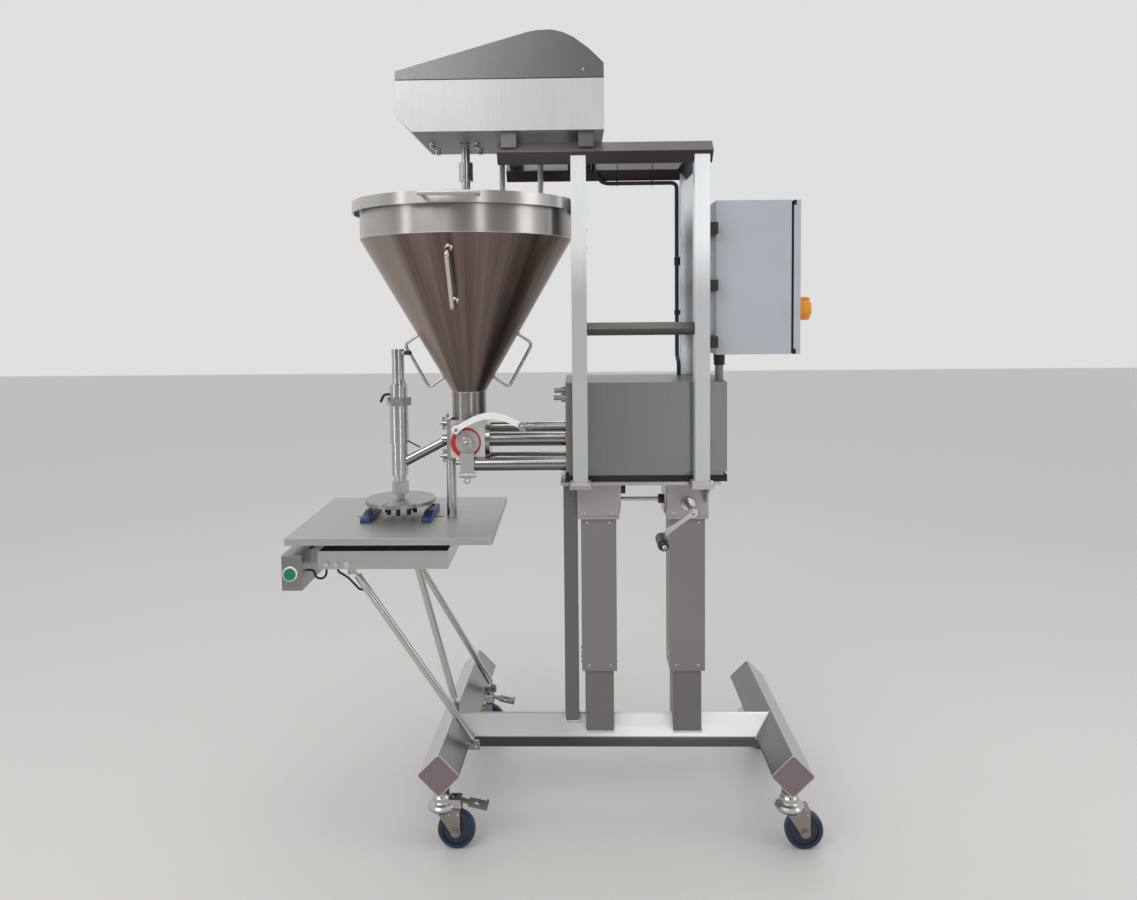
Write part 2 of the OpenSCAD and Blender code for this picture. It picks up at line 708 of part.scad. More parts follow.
module cross_shaft() color("silver") {
  xcyl(0, gear_z, cross_r, col_x1 + bevel_in + 2, col_x2 - bevel_mid - 2);
  translate([col_x1 + bevel + 0.6, 0, gear_z]) rotate([0, -90, 0])
    cylinder(r1 = bevel, r2 = bevel_in, h = bevel - bevel_in, $fn = 48);
  translate([col_x2 - bevel - 0.6, 0, gear_z]) rotate([0, 90, 0])
    cylinder(r1 = bevel, r2 = bevel_mid + 1, h = bevel - bevel_mid - 1, $fn = 48);
  xcyl(0, gear_z, collar_r, col_x2 - head_w / 2 - bracket_t - 14, col_x2 - head_w / 2 - bracket_t - gap);
}

crank_dx = -crank_len * sin(crank_turn);
crank_dz = -crank_len * cos(crank_turn);
module crank_arm() color("silver") {
  translate([col_x2, -bevel_mid - 0.6, gear_z]) rotate([-90, 0, 0])
    cylinder(r1 = bevel_mid, r2 = bevel_in, h = bevel_mid - bevel_in, $fn = 48);
  ycyl(col_x2, gear_z, crank_r, crank_y - arm_t - 4, -bevel_mid + 2);
  ycyl(col_x2, gear_z, 18, -head_w / 2 - 14, -head_w / 2 - gap);
  ycyl(col_x2, gear_z, 13, -head_w / 2 - 34, -head_w / 2 - 13);
  ycyl(col_x2, gear_z, crank_r + 4, crank_y - arm_t, crank_y);
  ycyl(col_x2 + crank_dx, gear_z + crank_dz, pin_r + 5, crank_y - arm_t, crank_y);
  translate([col_x2, crank_y, gear_z]) rotate([0, crank_turn, 0])
    span([-arm_w / 2, 1 - arm_t, -crank_len], [arm_w / 2, -1, 0]);
  ycyl(col_x2 + crank_dx, gear_z + crank_dz, pin_r, crank_y - arm_t - grip_len - 6, crank_y - arm_t + cut);
}

module crank_grip() color("black") difference() {
  translate([col_x2 + crank_dx, crank_y - arm_t - gap, gear_z + crank_dz]) rotate([90, 0, 0])
    rotate_extrude($fn = 48) polygon([[0, 0], [grip_r - 3, 0], [grip_r, 6], [grip_r, grip_len - 12],
      [grip_r - 3, grip_len - 3], [grip_r - 7, grip_len], [0, grip_len]]);
  ycyl(col_x2 + crank_dx, gear_z + crank_dz, pin_r + fit, crank_y - arm_t - grip_len - 7, crank_y);
}

module carriage_frame() color("lightgray") {
  difference() {
    union() {
      span([carriage_x0, plate_y0, head_top], [carriage_x1, carriage_y1, carriage_z]);
      for (x = [upright_x1, upright_x2])
        span([x - ear_w / 2, carriage_y0, head_top], [x + ear_w / 2, plate_y0 + cut, carriage_z]);
      span([house_x0 - 2, house_y0 + 9, carriage_z - cut], [house_x1 + 2, upright_yr - 30, plinth_z]);
      for (x = [upright_x1 - 22, upright_x2 + 22 - 6]) translate([x, 0, 0]) rotate([90, 0, 90]) linear_extrude(6)
        polygon([[carriage_y0 + 6, head_top + cut], [-50, head_top + cut], [-50, head_top - 60]]);
    }
    for (x = [col_x1, col_x2]) span([x - head_w / 2, -head_w / 2, head_top - 70], [x + head_w / 2, head_w / 2, head_top]);
  }
  span([guide_x - guide_bar_w / 2, -guide_bar_w / 2, head_top - guide_bar_l],
    [guide_x + guide_bar_w / 2, guide_bar_w / 2, head_top + cut]);
  for (x = [col_x1 + head_w / 2, col_x2 - head_w / 2 - bracket_t]) difference() {
    translate([x, 0, head_top]) rotate([90, 0, 90]) linear_extrude(bracket_t)
      polygon([[-bracket_y, cut], [bracket_y, cut], [bracket_y, -bracket_h], [-bracket_y / 3, -bracket_h],
        [-bracket_y, -bracket_h * 0.6]]);
    xcyl(0, gear_z, cross_r + 3, x - cut, x + bracket_t + cut);
  }
  xcyl(-18, knob_z, knob_r, col_x1 + head_w / 2 + bracket_t - cut, col_x1 + head_w / 2 + bracket_t + 14);
}

// upper frame
// rails on edge: front and rear rail with closed ends, and two side rails between them
rail_left = 37;
rail_right = 28;
module frame_ring(s, e) {
  for (y = [upright_yf, upright_yr]) edge_x(s, frame_x0 - rail_left + e, upright_x2 + rail_right - e, y, rail_z);
  for (x = [upright_x1, upright_x2]) side_rail(s, x, upright_yf, upright_yr);
}

// rail along Y
module side_rail(s, x, y0, y1) translate([x, y0, rail_z]) rotate([-90, 0, 0]) linear_extrude(y1 - y0)
  rotate(45) square(s, center = true);

module top_frame() color("lightgray") {
  difference() {
    frame_ring(upright, 0);
    frame_ring(upright - 2 * upright_wall, upright_wall);
  }
  for (x = [frame_x0 - 6, 33]) difference() {
    span([x - upright / 2, upright_yf - 26, hood_z - upright], [x + upright / 2, upright_yr + 26, hood_z]);
    span([x - upright / 2 + upright_wall, upright_yf - 26 + upright_wall, hood_z - upright + upright_wall],
      [x + upright / 2 - upright_wall, upright_yr + 26 - upright_wall, hood_z - upright_wall]);
    frame_ring(upright - 2 * upright_wall, upright_wall);
  }
}

// tube and foot plate of one upright
module post(x, y) difference() {
  union() {
    span([x - upright / 2, y - upright / 2, carriage_z], [x + upright / 2, y + upright / 2, rail_z]);
    span([x - 28, y - 28, carriage_z], [x + 28, min(y + 28, y > 0 ? y + 28 : house_y0 - 1), carriage_z + 8]);
  }
  span([x - upright / 2 + upright_wall, y - upright / 2 + upright_wall, carriage_z + 8],
    [x + upright / 2 - upright_wall, y + upright / 2 - upright_wall, rail_z + cut]);
  edge_x(upright, x - 2 * upright, x + 2 * upright, y, rail_z);
  side_rail(upright, x, upright_yf, upright_yr);
}

module front_uprights() color("lightgray") {
  post(upright_x1, upright_yf);
  post(upright_x2, upright_yf);
  edge_x(25, upright_x1 + upright / 2 + gap, upright_x2 - upright / 2 - gap, upright_yf, 1367);
}

module rear_uprights() color("lightgray") {
  post(upright_x1, upright_yr);
  post(upright_x2, upright_yr);
}

cable_r = 6;
cable_pts = rounded([[60, 148, hood_z], [60, 148, 1818], [90, 184, 1794], [308, 184, 1794],
  [308, 184, 1275], [308, 140, 1258], [308, 140, house_z1]], 18, 5);
module motor_cable() color("black") bent(cable_pts, cable_r, 10);

// housing, cabinet
// places of the air fittings across and up the left side
air_ports = [[-70, 1178], [-30, 1194]];
module housing() color("lightgray") difference() {
  union() {
    span([house_x0, house_y0, plinth_z + 10], [house_x1, house_y1, house_z1]);
    span([house_x0 + 8, house_y0 + 8, plinth_z], [house_x1 - 8, house_y1 - 8, plinth_z + 12]);
    for (p = air_ports) {
      xcyl(p[0], p[1], 11, house_x0 - 12, house_x0);
      xcyl(p[0], p[1], 6.5, house_x0 - 32, house_x0 - 10);
    }
  }
  span([house_x0 + house_t, house_y0 + house_t, plinth_z + 20], [house_x1 - house_t, house_y1 - house_t, house_z1 - house_t]);
  span([house_x0 + 12, house_y0 + 12, plinth_z - cut], [house_x1 - 12, house_y1 - 12, plinth_z + 21]);
  span([upright_x2 + 2, house_y0 - cut, plinth_z + 9], [upright_x2 + 4, house_y0 + 1.5, house_z1 + cut]);
  span([upright_x2 + 2, house_y0 - cut, house_z1 - 1.5], [upright_x2 + 4, house_y1 + cut, house_z1 + cut]);
  xcyl(0, rotor_z, barrel_r, house_x0 - cut, house_x0 + house_t + cut);
  xcyl(rod_y, rod_z, rod_r + gap, house_x0 - cut, house_x0 + house_t + cut);
}

module cabinet() color("lightsteelblue") {
  difference() {
    union() {
      span([cab_x0, cab_y0, cab_z0], [cab_x1 - 6, cab_y1, cab_z1]);
      span([cab_x0 + 20, cab_y0 + 5, cab_z0 + 5], [cab_x1, cab_y1 - 5, cab_z1 - 5]);
    }
    span([cab_x0 + cab_t, cab_y0 + 10, cab_z0 + 10], [cab_x1 + cut, cab_y1 - 10, cab_z1 - 10]);
  }
  span([cab_x0 + cab_t + 6, cab_y0 + 24, cab_z0 + 30], [cab_x0 + cab_t + 9, cab_y1 - 24, cab_z1 - 30]);
  for (y = [-60, 100]) span([cab_x0 + 1, y, cab_z0 + 60], [cab_x0 + cab_t + 7, y + 20, cab_z0 + 100]);
  for (k = [0:3]) span([cab_x0 + cab_t + 8, cab_y0 + 40 + 56 * k, cab_z1 - 150], [cab_x0 + 80, cab_y0 + 84 + 56 * k, cab_z1 - 60]);
  span([cab_x0 + cab_t + 8, cab_y0 + 40, cab_z0 + 70], [cab_x0 + 50, cab_y1 - 40, cab_z0 + 120]);
  for (z = [cab_z0 + 60, cab_z1 - 60]) {
    span([cab_x1 - 30, cab_y1 - 2, z - 22], [cab_x1 - 6, hinge_y + 5, z - 14]);
    span([cab_x1 - 7, cab_y1 + 1, z - 22], [hinge_x + 2, hinge_y + 5, z - 14]);
    zcyl(hinge_x, hinge_y, 3, z - 15, z + 14);
  }
}

// door pan with a boss for the switch shaft
module cabinet_door() color("lightsteelblue") difference() {
  union() {
    difference() {
      span([door_x, cab_y0, cab_z0], [door_x + door_t, cab_y1, cab_z1]);
      span([door_x - cut, cab_y0 + cab_t, cab_z0 + cab_t], [door_x + door_t - cab_t, cab_y1 - cab_t, cab_z1 - cab_t]);
    }
    xcyl(switch_y, switch_z, hub_r, door_x + cab_t, door_x + door_t - cab_t + cut);
    for (z = [cab_z0 + 60, cab_z1 - 60]) {
      zcyl(hinge_x, hinge_y, 6, z - 13.5, z + 12);
      span([hinge_x, cab_y1 - 4, z - 13.5], [hinge_x + 6, hinge_y, z + 12]);
    }
  }
  for (z = [cab_z0 + 60, cab_z1 - 60]) zcyl(hinge_x, hinge_y, 3 + fit, z - 16, z + 15);
  xcyl(switch_y, switch_z, 4 + fit, door_x, door_x + door_t + cut);
}

module main_switch() color("orange") {
  difference() {
    union() {
      xcyl(switch_y, switch_z, switch_r, door_x + door_t + gap, door_x + door_t + switch_l - switch_edge);
      translate([door_x + door_t + switch_l - switch_edge, switch_y, switch_z]) rotate([0, 90, 0])
        cylinder(r1 = switch_r, r2 = switch_r - switch_edge / 2, h = switch_edge, $fn = 48);
    }
    for (y = [-1, 1]) span([door_x + door_t + 12, switch_y + y * switch_r / 2 - 8, switch_z - switch_r - cut],
      [door_x + door_t + switch_l + cut, switch_y + y * switch_r / 2 + 8, switch_z + switch_r + cut]);
  }
  xcyl(switch_y, switch_z, 4, door_x - 6, door_x + door_t + 5);
}

gland_x = 394;
gland_y = -60;
module cabinet_fittings() color("black") {
  for (z = [1330, 1480, 1630]) span([upright_x2 + upright / 2, upright_yf - 15, z - 15], [cab_x0, upright_yr + 15, z + 15]);
  zcyl(gland_x, gland_y, 15, cab_z0 - 30, cab_z0);
  zcyl(gland_x, gland_y, 11, house_z1, cab_z0 - 29);
  zcyl(gland_x + 3, gland_y + 60, 9, cab_z0 - 20, cab_z0);
  zcyl(gland_x + 3, gland_y + 60, 5, house_z1, cab_z0 - 19);
}

// hopper, lid, hood
rim_z = lid_top - sheet - gap;
module hopper() color("gainsboro") translate([hopper_x, 0, 0]) rotate_extrude($fn = 96)
  polygon([[neck_r, valve_z1], [neck_r, cone_bottom], [band_r, cone_top], [band_r, rim_z],
    [band_r - sheet, rim_z], [band_r - sheet, cone_top + 1], [neck_r - sheet, cone_bottom + 1],
    [neck_r - sheet, valve_z1]]);

function cone_at(z) = neck_r + (band_r - neck_r) * (z - cone_bottom) / (cone_top - cone_bottom);
// side loop of bent rod on the cone, side s
function loop(s) = [for (p = [[cone_at(1352), 1352], [cone_at(1352) + 40, 1325], [cone_at(1232) + 42, 1202],
  [cone_at(1232), 1232]]) [hopper_x + s * p[0], 0, p[1]]];
handle_turn = -2.5;
front_bar = [for (p = [[cone_at(1577), 1577], [cone_at(1577) + 34, 1562], [cone_at(1446) + 38, 1420],
  [cone_at(1446), 1446]]) [hopper_x + p[0] * sin(handle_turn), -p[0] * cos(handle_turn), p[1]]];
module hopper_handles() color("silver") difference() {
  union() {
    bent(rounded(loop(-1), 14, 4), 4.5, 12);
    bent(rounded(loop(1), 14, 4), 4.5, 12);
    bent(rounded(front_bar, 16, 4), 6, 12);
  }
  translate([hopper_x, 0, 0]) rotate_extrude($fn = 96) polygon([[0, cone_bottom], [neck_r, cone_bottom], [band_r, cone_top], [0, cone_top]]);
}

hinge_xs = [hopper_x - 180, hopper_x + 180];
// half lid: disc with turned-down skirt, cut by the hinge line
module lid_half(y0, y1) intersection() {
  translate([hopper_x, 0, 0]) rotate_extrude($fn = 96) polygon([[agit_r + 6, lid_top - sheet], [agit_r + 6, lid_top],
    [lid_r, lid_top], [lid_r, lid_top - 30], [lid_r - sheet, lid_top - 30], [lid_r - sheet, lid_top - sheet]]);
  span([hopper_x - 400, y0, lid_top - 60], [hopper_x + 400, y1, lid_top + 60]);
}

module rear_lid() color("silver") {
  lid_half(lid_split + lid_swing_gap, 400);
  for (x = lid_rod_xs) zcyl(x, lid_rod_y, lid_rod_r, lid_top - cut, hood_z);
  for (x = hinge_xs) {
    span([x - 30, lid_split, lid_top - cut], [x + 30, lid_split + 16, lid_hinge_z + 3]);
    xcyl(lid_split, lid_hinge_z, lid_pin_r, x - 62, x + 62);
    xcyl(lid_split, lid_hinge_z, lid_barrel_r, x - 30, x + 30);
  }
}

module front_lid() color("silver") difference() {
  union() {
    difference() {
      lid_half(-400, lid_split - gap);
      span([hopper_x - 400, lid_split - skirt_gap, lid_top - 60], [hopper_x + 400, lid_split, lid_top - sheet]);
    }
    for (x = hinge_xs) for (s = [-1, 1]) {
      xcyl(lid_split, lid_hinge_z, lid_barrel_r, x + (s > 0 ? 30 + gap : -60), x + (s > 0 ? 60 : -30 - gap));
      span([x + (s > 0 ? 30 + gap : -60), lid_split - 16, lid_top - cut],
        [x + (s > 0 ? 60 : -30 - gap), lid_split, lid_hinge_z + 3]);
    }
    for (x = [-68, 68]) ycyl(hopper_x + x, lid_top - 12, 5, -lid_r - 38, -lid_r + 12);
    xcyl(-lid_r - 38, lid_top - 12, 6, hopper_x - 74, hopper_x + 74);
  }
  for (x = hinge_xs) xcyl(lid_split, lid_hinge_z, lid_pin_r + fit, x - 70, x + 70);
  for (x = hinge_xs) xcyl(lid_split, lid_hinge_z, lid_barrel_r + gap, x - 30 - gap / 2, x + 30 + gap / 2);
  span([upright_x1 - upright / 2 - lid_relief, upright_yf - upright, lid_top - 60],
    [upright_x1 + upright, upright_yf + upright / 2 + lid_back, lid_top + 60]);
}

// side outline of the drive hood
hood_side = [[hood_x0, hood_z + 40], [hood_x0 + 41, hood_z], [hood_x1, hood_z], [hood_x1, hood_top - 86],
  [hood_x1 - 16, hood_top - 70], [hood_x1 - 39, hood_top - 48], [hood_x1 - 77, hood_top - 20], [hood_x1 - 105, hood_top - 7],
  [hood_x1 - 136, hood_top], [hood_x1 - 170, hood_top - 1], [hood_x1 - 195, hood_top - 5], [hood_x0, hood_top - 100]];
seam_h = 133;
hood_cx = (hood_x0 + hood_x1) / 2;
hood_cz = (hood_z + hood_top) / 2;
module hood_body(g) translate([hood_cx, 0, hood_cz]) scale([1 - 2 * g / (hood_x1 - hood_x0), 1, 1 - 2 * g / (hood_top - hood_z)])
  translate([-hood_cx, hood_d / 2 - g, -hood_cz]) rotate([90, 0, 0]) linear_extrude(hood_d - 2 * g) polygon(hood_side);

seam_z = hood_z + seam_h;
module hood() color("lightgray") difference() {
  hood_body(0);
  hood_body(3);
  zcyl(hopper_x, 0, agit_r + 4, hood_z - cut, hood_z + 10);
  difference() {
    span([hood_x0 - 5, -hood_d, seam_z - 1], [hood_x1 + 5, hood_d, seam_z + 1]);
    span([hood_x0 + 1.2, -hood_d / 2 + 1.2, seam_z - 2], [hood_x1 - 1.2, hood_d / 2 - 1.2, seam_z + 2]);
  }
}

module gear_motor() color("dimgray") difference() {
  union() {
    span([hopper_x - 70, -70, hood_z + 3], [hopper_x + 70, 70, hood_z + 83]);
    xcyl(0, hood_z + 60, 52, hopper_x + 65, hopper_x + 290);
    xcyl(0, hood_z + 60, 56, hopper_x + 255, hopper_x + 270);
  }
  zcyl(hopper_x, 0, agit_r + fit, hood_z, hood_z + 60);
}

module agitator() color("silver") {
  zcyl(hopper_x, 0, agit_r, 1270, hood_z + 58);
  zcyl(hopper_x, 0, 20, 1778, 1829);
  for (s = [-1, 1]) {
    rod([hopper_x, 0, paddle_top], [hopper_x + s * 236, 0, paddle_top], 8);
    rod([hopper_x + s * 232, 0, paddle_top + 4], [hopper_x + s * 232, 0, 1596], 8);
    rod([hopper_x + s * 232, 0, 1600], [hopper_x + s * 58, 0, 1300], 8);
    rod([hopper_x, 0, 1302], [hopper_x + s * 60, 0, 1302], 8);
    translate([hopper_x, 0, 1440]) rotate([0, 0, 90 + 90 * s]) rotate([35, 0, 0]) span([10, -4, -26], [104, 4, 26]);
  }
}

// pump
module valve_block() color("gainsboro") difference() {
  span([valve_x0, face_y, valve_z0], [valve_x1, -face_y, valve_z1]);
  ycyl(hopper_x, rotor_z, rotor_r + fit, face_y - cut, -face_y - 10);
  zcyl(hopper_x, 0, 30, rotor_z, valve_z1 + cut);
  xcyl(0, rotor_z, barrel_r, hopper_x + rotor_r - 4, valve_x1 + cut);
  xcyl(0, rotor_z, 10, valve_x0 - cut, hopper_x);
}

module valve_rotor() color("silver") difference() {
  union() {
    ycyl(hopper_x, rotor_z, rotor_r, face_y + gap, -face_y - 10 - gap);
    ycyl(hopper_x, rotor_z, 9, face_y - 22, face_y + 2);
    ycyl(hopper_x, rotor_z, 14, face_y - 18, face_y - 8 - gap);
    translate([hopper_x, 0, rotor_z]) rotate([0, atan2(pin_x, pin_h), 0]) span([-11, face_y - 18, 0], [11, face_y - 8 - gap, 60]);
  }
  translate([hopper_x, 0, rotor_z]) rotate([0, atan2(pin_x, pin_h), 0]) span([-pin_r - 1.8, face_y - 19, 30], [pin_r + 1.8, face_y - 7, 56]);
  zcyl(hopper_x, 0, 16, rotor_z, rotor_z + rotor_r + cut);
  xcyl(0, rotor_z, 16, hopper_x, hopper_x + rotor_r + cut);
}

module keeper_plate() color("darkgray") difference() {
  union() {
    ycyl(hopper_x - 5, rotor_z - 2, sign_r, face_y - 2, face_y);
    ycyl(hopper_x, rotor_z, keeper_r, face_y - keeper_t, face_y - 1);
    span([hopper_x - 19, face_y - 8, valve_z0 + 2], [hopper_x + 19, face_y - 2, rotor_z]);
    span([hopper_x - 19, keeper_y - 6, valve_z0 + 2], [hopper_x + 19, face_y, valve_z0 + 14]);
    span([hopper_x - 19, keeper_y - 6, 962], [hopper_x + 19, keeper_y, valve_z0 + 14]);
    xcyl(keeper_y - 3, 965, 7, hopper_x - 23, hopper_x + 23);
    ycyl(hopper_x, 950, 10, keeper_y - 6, keeper_y);
  }
  ycyl(hopper_x, rotor_z, 9 + fit, face_y - 9, face_y + cut);
  ycyl(hopper_x, 950, 5, keeper_y - 6 - cut, keeper_y + cut);
}

// pin and eye positions of the curved link at rest
link_x0 = hopper_x + pin_x;
link_x1 = -145;
link_pts = [for (k = [0:12]) let (t = k / 12) [link_x0 + t * (link_x1 - link_x0), rotor_z + pin_h + t * (rod_z - rotor_z - pin_h)
  + 34 * sin(180 * t)]];
link_w = 9;
module curved_link() color("white") difference() {
  union() {
    translate([0, rod_y + 5, 0]) rotate([90, 0, 0]) linear_extrude(9) polygon(concat(
      [for (p = link_pts) [p[0], p[1] + link_w]], [for (k = [12:-1:0]) [link_pts[k][0], link_pts[k][1] - link_w]]));
    ycyl(link_x0, rotor_z + pin_h, 12, rod_y - 4, rod_y + 5);
    ycyl(link_x0, rotor_z + pin_h, pin_r, rod_y - 8, face_y - 9);
    ycyl(link_x1, rod_z, 13, rod_y - 4, rod_y + 5);
  }
  xcyl(rod_y, rod_z, rod_r, link_x1 - 2, link_x1 + 30);
}

module actuator_rod() color("silver") {
  xcyl(rod_y, rod_z, rod_r, link_x1 - 2, 190);
  xcyl(rod_y, rod_z, 11, link_x1 + 14, link_x1 + 30);
}

module pump_barrels() color("silver") difference() {
  union() {
    xcyl(0, rotor_z, barrel_r, hopper_x + rotor_r + 2, house_x0 + 10);
    xcyl(0, rotor_z, 48, valve_x1, valve_x1 + 12);
    xcyl(0, rotor_z, 44, house_x0 + 10, house_x0 + 230);
    span([house_x0 + 20, -45, plinth_z + 0], [house_x0 + 40, 45, rotor_z]);
    span([house_x0 + 190, -45, plinth_z + 0], [house_x0 + 210, 45, rotor_z]);
  }
  xcyl(0, rotor_z, bore_r, hopper_x + rotor_r, house_x0 + 24);
  xcyl(0, rotor_z, 38, house_x0 + 24, house_x0 + 222);
}

module pump_piston() color("silver") {
  xcyl(0, rotor_z, bore_r - fit, hopper_x + rotor_r + 20, hopper_x + rotor_r + 50);
  xcyl(0, rotor_z, 8, hopper_x + rotor_r + 48, house_x0 + 60);
  xcyl(0, rotor_z, 38 - fit, house_x0 + 40, house_x0 + 62);
}

module carrier_bars() color("silver") {
  xcyl(bar_y, bar_z, bar_r, hopper_x - 34, house_x0);
  xcyl(-bar_y, bar_z, bar_r, hopper_x + 12, house_x0);
  xcyl(-bar_y, bar_z + 4, stub_r, hopper_x - 34, hopper_x + 12 + cut);
  xcyl(upper_bar_y, upper_bar_z, 16, hopper_x - 12, house_x0);
  span([hopper_x - 12, -face_y, upper_bar_z - 12], [hopper_x + 12, upper_bar_y, upper_bar_z + 12]);
  span([valve_x1 - 14, -bar_y, bar_z - 18], [valve_x1 - 4, bar_y, valve_z0]);
}

// outlet and nozzle
module outlet_tube() color("silver") difference() {
  union() {
    span([valve_x0 - flange_t, face_y, valve_z0 - 10], [valve_x0, -face_y, valve_z1 + 5]);
    rod([valve_x0 - flange_t - 14, 0, rotor_z - 4], [nozzle_x, 0, 984], out_r);
    xcyl(0, rotor_z, out_r + 2, valve_x0 - flange_t - 20, valve_x0 - 2);
    zcyl(post_x - flange_t / 2, -10, post_r, table_z + gap, valve_z0 - 10);
    for (y = [-36, 36]) for (z = [valve_z0 + 2, valve_z1 - 8]) {
      xcyl(y, z, 4, valve_x0 - flange_t - 22, valve_x0 - 2);
      xcyl(y, z, 8, valve_x0 - flange_t - 12, valve_x0 - flange_t);
      span([valve_x0 - flange_t - 14, y - 3, z - 18], [valve_x0 - flange_t - 6, y + 3, z + 18]);
    }
  }
  xcyl(0, rotor_z, 10, valve_x0 - flange_t - 16, valve_x0 + cut);
  rod([valve_x0 - flange_t - 14, 0, rotor_z - 4], [nozzle_x, 0, 984], out_r - 4);
  zcyl(nozzle_x, 0, 23, 930, 1060);
  zcyl(hopper_x, 0, neck_r + gap, valve_z1, valve_z1 + 10);
}

// short elbow at the union and thin air hose down to the outlet tube
elbow_pts = rounded([[nozzle_x - 22, 0, 1184], [nozzle_x - 42, 0, 1184], [nozzle_x - 52, 0, 1162]], 9, 4);
hose_pts = rounded([[nozzle_x + 22, -8, 1056], [nozzle_x + 36, -8, 1046], [nozzle_x + 60, -8, 1034]], 8, 4);
module nozzle_body() color("silver") difference() {
  union() {
    zcyl(nozzle_x, 0, 18.5, piston_tube_top - cut, cap_top);
    zcyl(nozzle_x, 0, 17.5, collar_top - 13, piston_tube_top);
    zcyl(nozzle_x, 0, 24.5, union_top - cut, collar_top);
    translate([nozzle_x, 0, upper_top - cut]) cylinder(r = 35, h = union_top - upper_top + cut, $fn = 6);
    zcyl(nozzle_x, 0, 26, lower_top - cut, upper_top);
    zcyl(nozzle_x, 0, 23, neck_top - cut, lower_top);
    zcyl(nozzle_x, 0, 18, hex_top - cut, neck_top);
    translate([nozzle_x, 0, tip_top - cut]) cylinder(r = 24, h = hex_top - tip_top + cut, $fn = 6);
    zcyl(nozzle_x, 0, tip_r, disc_z - 4, tip_top);
    translate([nozzle_x, 0, cap_top - 10]) rotate([0, 90, -30]) cylinder(r = 6, h = 46, $fn = 32);
    zcyl(nozzle_x + 19, -17, 5, collar_top - 6, collar_top + 12);
    bent(elbow_pts, 4, 8);
    bent(hose_pts, 2, 8);
  }
  zcyl(nozzle_x, 0, plunger_r, hex_top - 8, cap_top - 10);
  zcyl(nozzle_x, 0, 7, disc_z - 5, hex_top - 7);
  rod([nozzle_x, 0, 984], [nozzle_x + 34, 0, 1003], out_r - 4);
}

module nozzle_plunger() color("gray") {
  zcyl(nozzle_x, 0, plunger_r - fit, collar_top + 7, collar_top + 27);
  zcyl(nozzle_x, 0, 5, hex_top + 2, collar_top + 9);
  translate([nozzle_x, 0, hex_top - 8 + gap]) cylinder(r1 = 9, r2 = 11, h = 14, $fn = 48);
}

// flat disc with a turned rim, a slit at the front and a ring of outlets below
module spreader_disc() color("silver") translate([nozzle_x, 0, 0]) {
  difference() {
    zcyl(0, 0, disc_r, disc_z, disc_z + disc_t);
    zcyl(0, 0, disc_r - 3, disc_z - cut, disc_z + disc_t - 3);
    zcyl(0, 0, tip_r, disc_z - cut, disc_z + disc_t + cut);
    rotate([0, 0, 252]) span([disc_r - 30, -2, disc_z - cut], [disc_r + cut, 2, disc_z + disc_t + cut]);
    rotate([0, 0, 304]) span([disc_r - 14, -1.5, disc_z - cut], [disc_r + cut, 1.5, disc_z + disc_t + cut]);
  }
  difference() {
    zcyl(0, 0, outlet_ring + 10, disc_z - 10, disc_z + disc_t - 2);
    zcyl(0, 0, tip_r, disc_z - 11, disc_z + disc_t);
  }
  for (a = [0:360 / outlets:359]) rotate([0, 0, a]) zcyl(outlet_ring, 0, 6, disc_z - outlet_l, disc_z);
}

placed() left_leg();
placed() right_leg();
placed() cross_beam();
placed() lower_columns();
placed() guide_post();
placed() table_top();
placed() table_frame();
placed() strut_front();
placed() strut_mid();
placed() strut_rear();
placed() button_box();
placed() green_button();
placed() jaw_left();
placed() jaw_right();
placed() caster_fork_fl();
placed() caster_fork_fr();
placed() caster_fork_bl();
placed() caster_fork_br();
placed() caster_wheel_fl();
placed() caster_wheel_fr();
placed() caster_wheel_bl();
placed() caster_wheel_br();
placed() brake_pedal_fl();
placed() brake_pedal_bl();
placed() outer_columns();
placed() carriage_frame();
placed() front_uprights();
placed() rear_uprights();
placed() top_frame();
placed() motor_cable();
placed() housing();
placed() pump_barrels();
placed() carrier_bars();
placed() pump_piston();
placed() cabinet();
placed() cabinet_door();
placed() main_switch();
placed() cabinet_fittings();
placed() hopper();
placed() hopper_handles();
placed() rear_lid();
placed() front_lid();
placed() hood();
placed() gear_motor();
placed() agitator();
placed() valve_block();
placed() valve_rotor();
placed() keeper_plate();
placed() curved_link();
placed() actuator_rod();
placed() outlet_tube();
placed() nozzle_body();
placed() nozzle_plunger();
placed() spreader_disc();
placed() spindle_left();
placed() spindle_right();
placed() cross_shaft();
placed() crank_arm();
placed() crank_grip();
placed() table_cables();
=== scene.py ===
"""Finishes, fasteners, weld beads and leads of a food depositor, and the studio around it."""
import math

import bmesh
import bpy
from mathutils import Matrix, Vector


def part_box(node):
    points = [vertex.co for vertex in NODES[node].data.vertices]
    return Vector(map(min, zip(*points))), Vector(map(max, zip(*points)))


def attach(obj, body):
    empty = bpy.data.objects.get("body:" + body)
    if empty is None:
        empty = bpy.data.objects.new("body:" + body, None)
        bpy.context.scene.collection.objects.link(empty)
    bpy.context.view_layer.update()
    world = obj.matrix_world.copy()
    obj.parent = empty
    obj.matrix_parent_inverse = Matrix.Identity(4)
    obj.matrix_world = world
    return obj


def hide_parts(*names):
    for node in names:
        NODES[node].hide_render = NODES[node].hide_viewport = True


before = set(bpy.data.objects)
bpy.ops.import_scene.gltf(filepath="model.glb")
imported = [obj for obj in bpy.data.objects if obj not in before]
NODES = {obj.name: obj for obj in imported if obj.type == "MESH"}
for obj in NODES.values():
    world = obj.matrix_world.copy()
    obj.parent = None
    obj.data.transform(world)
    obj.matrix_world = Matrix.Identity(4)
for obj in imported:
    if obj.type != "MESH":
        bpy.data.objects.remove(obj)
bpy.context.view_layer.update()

bl_info = {
    "name": "Food depositor dresser",
    "version": (1, 0, 0),
    "blender": (4, 5, 0),
    "location": "View3D > Sidebar > Depositor",
    "description": "Gives the packed food depositor its finishes, fasteners, welds and leads",
    "category": "Object",
}

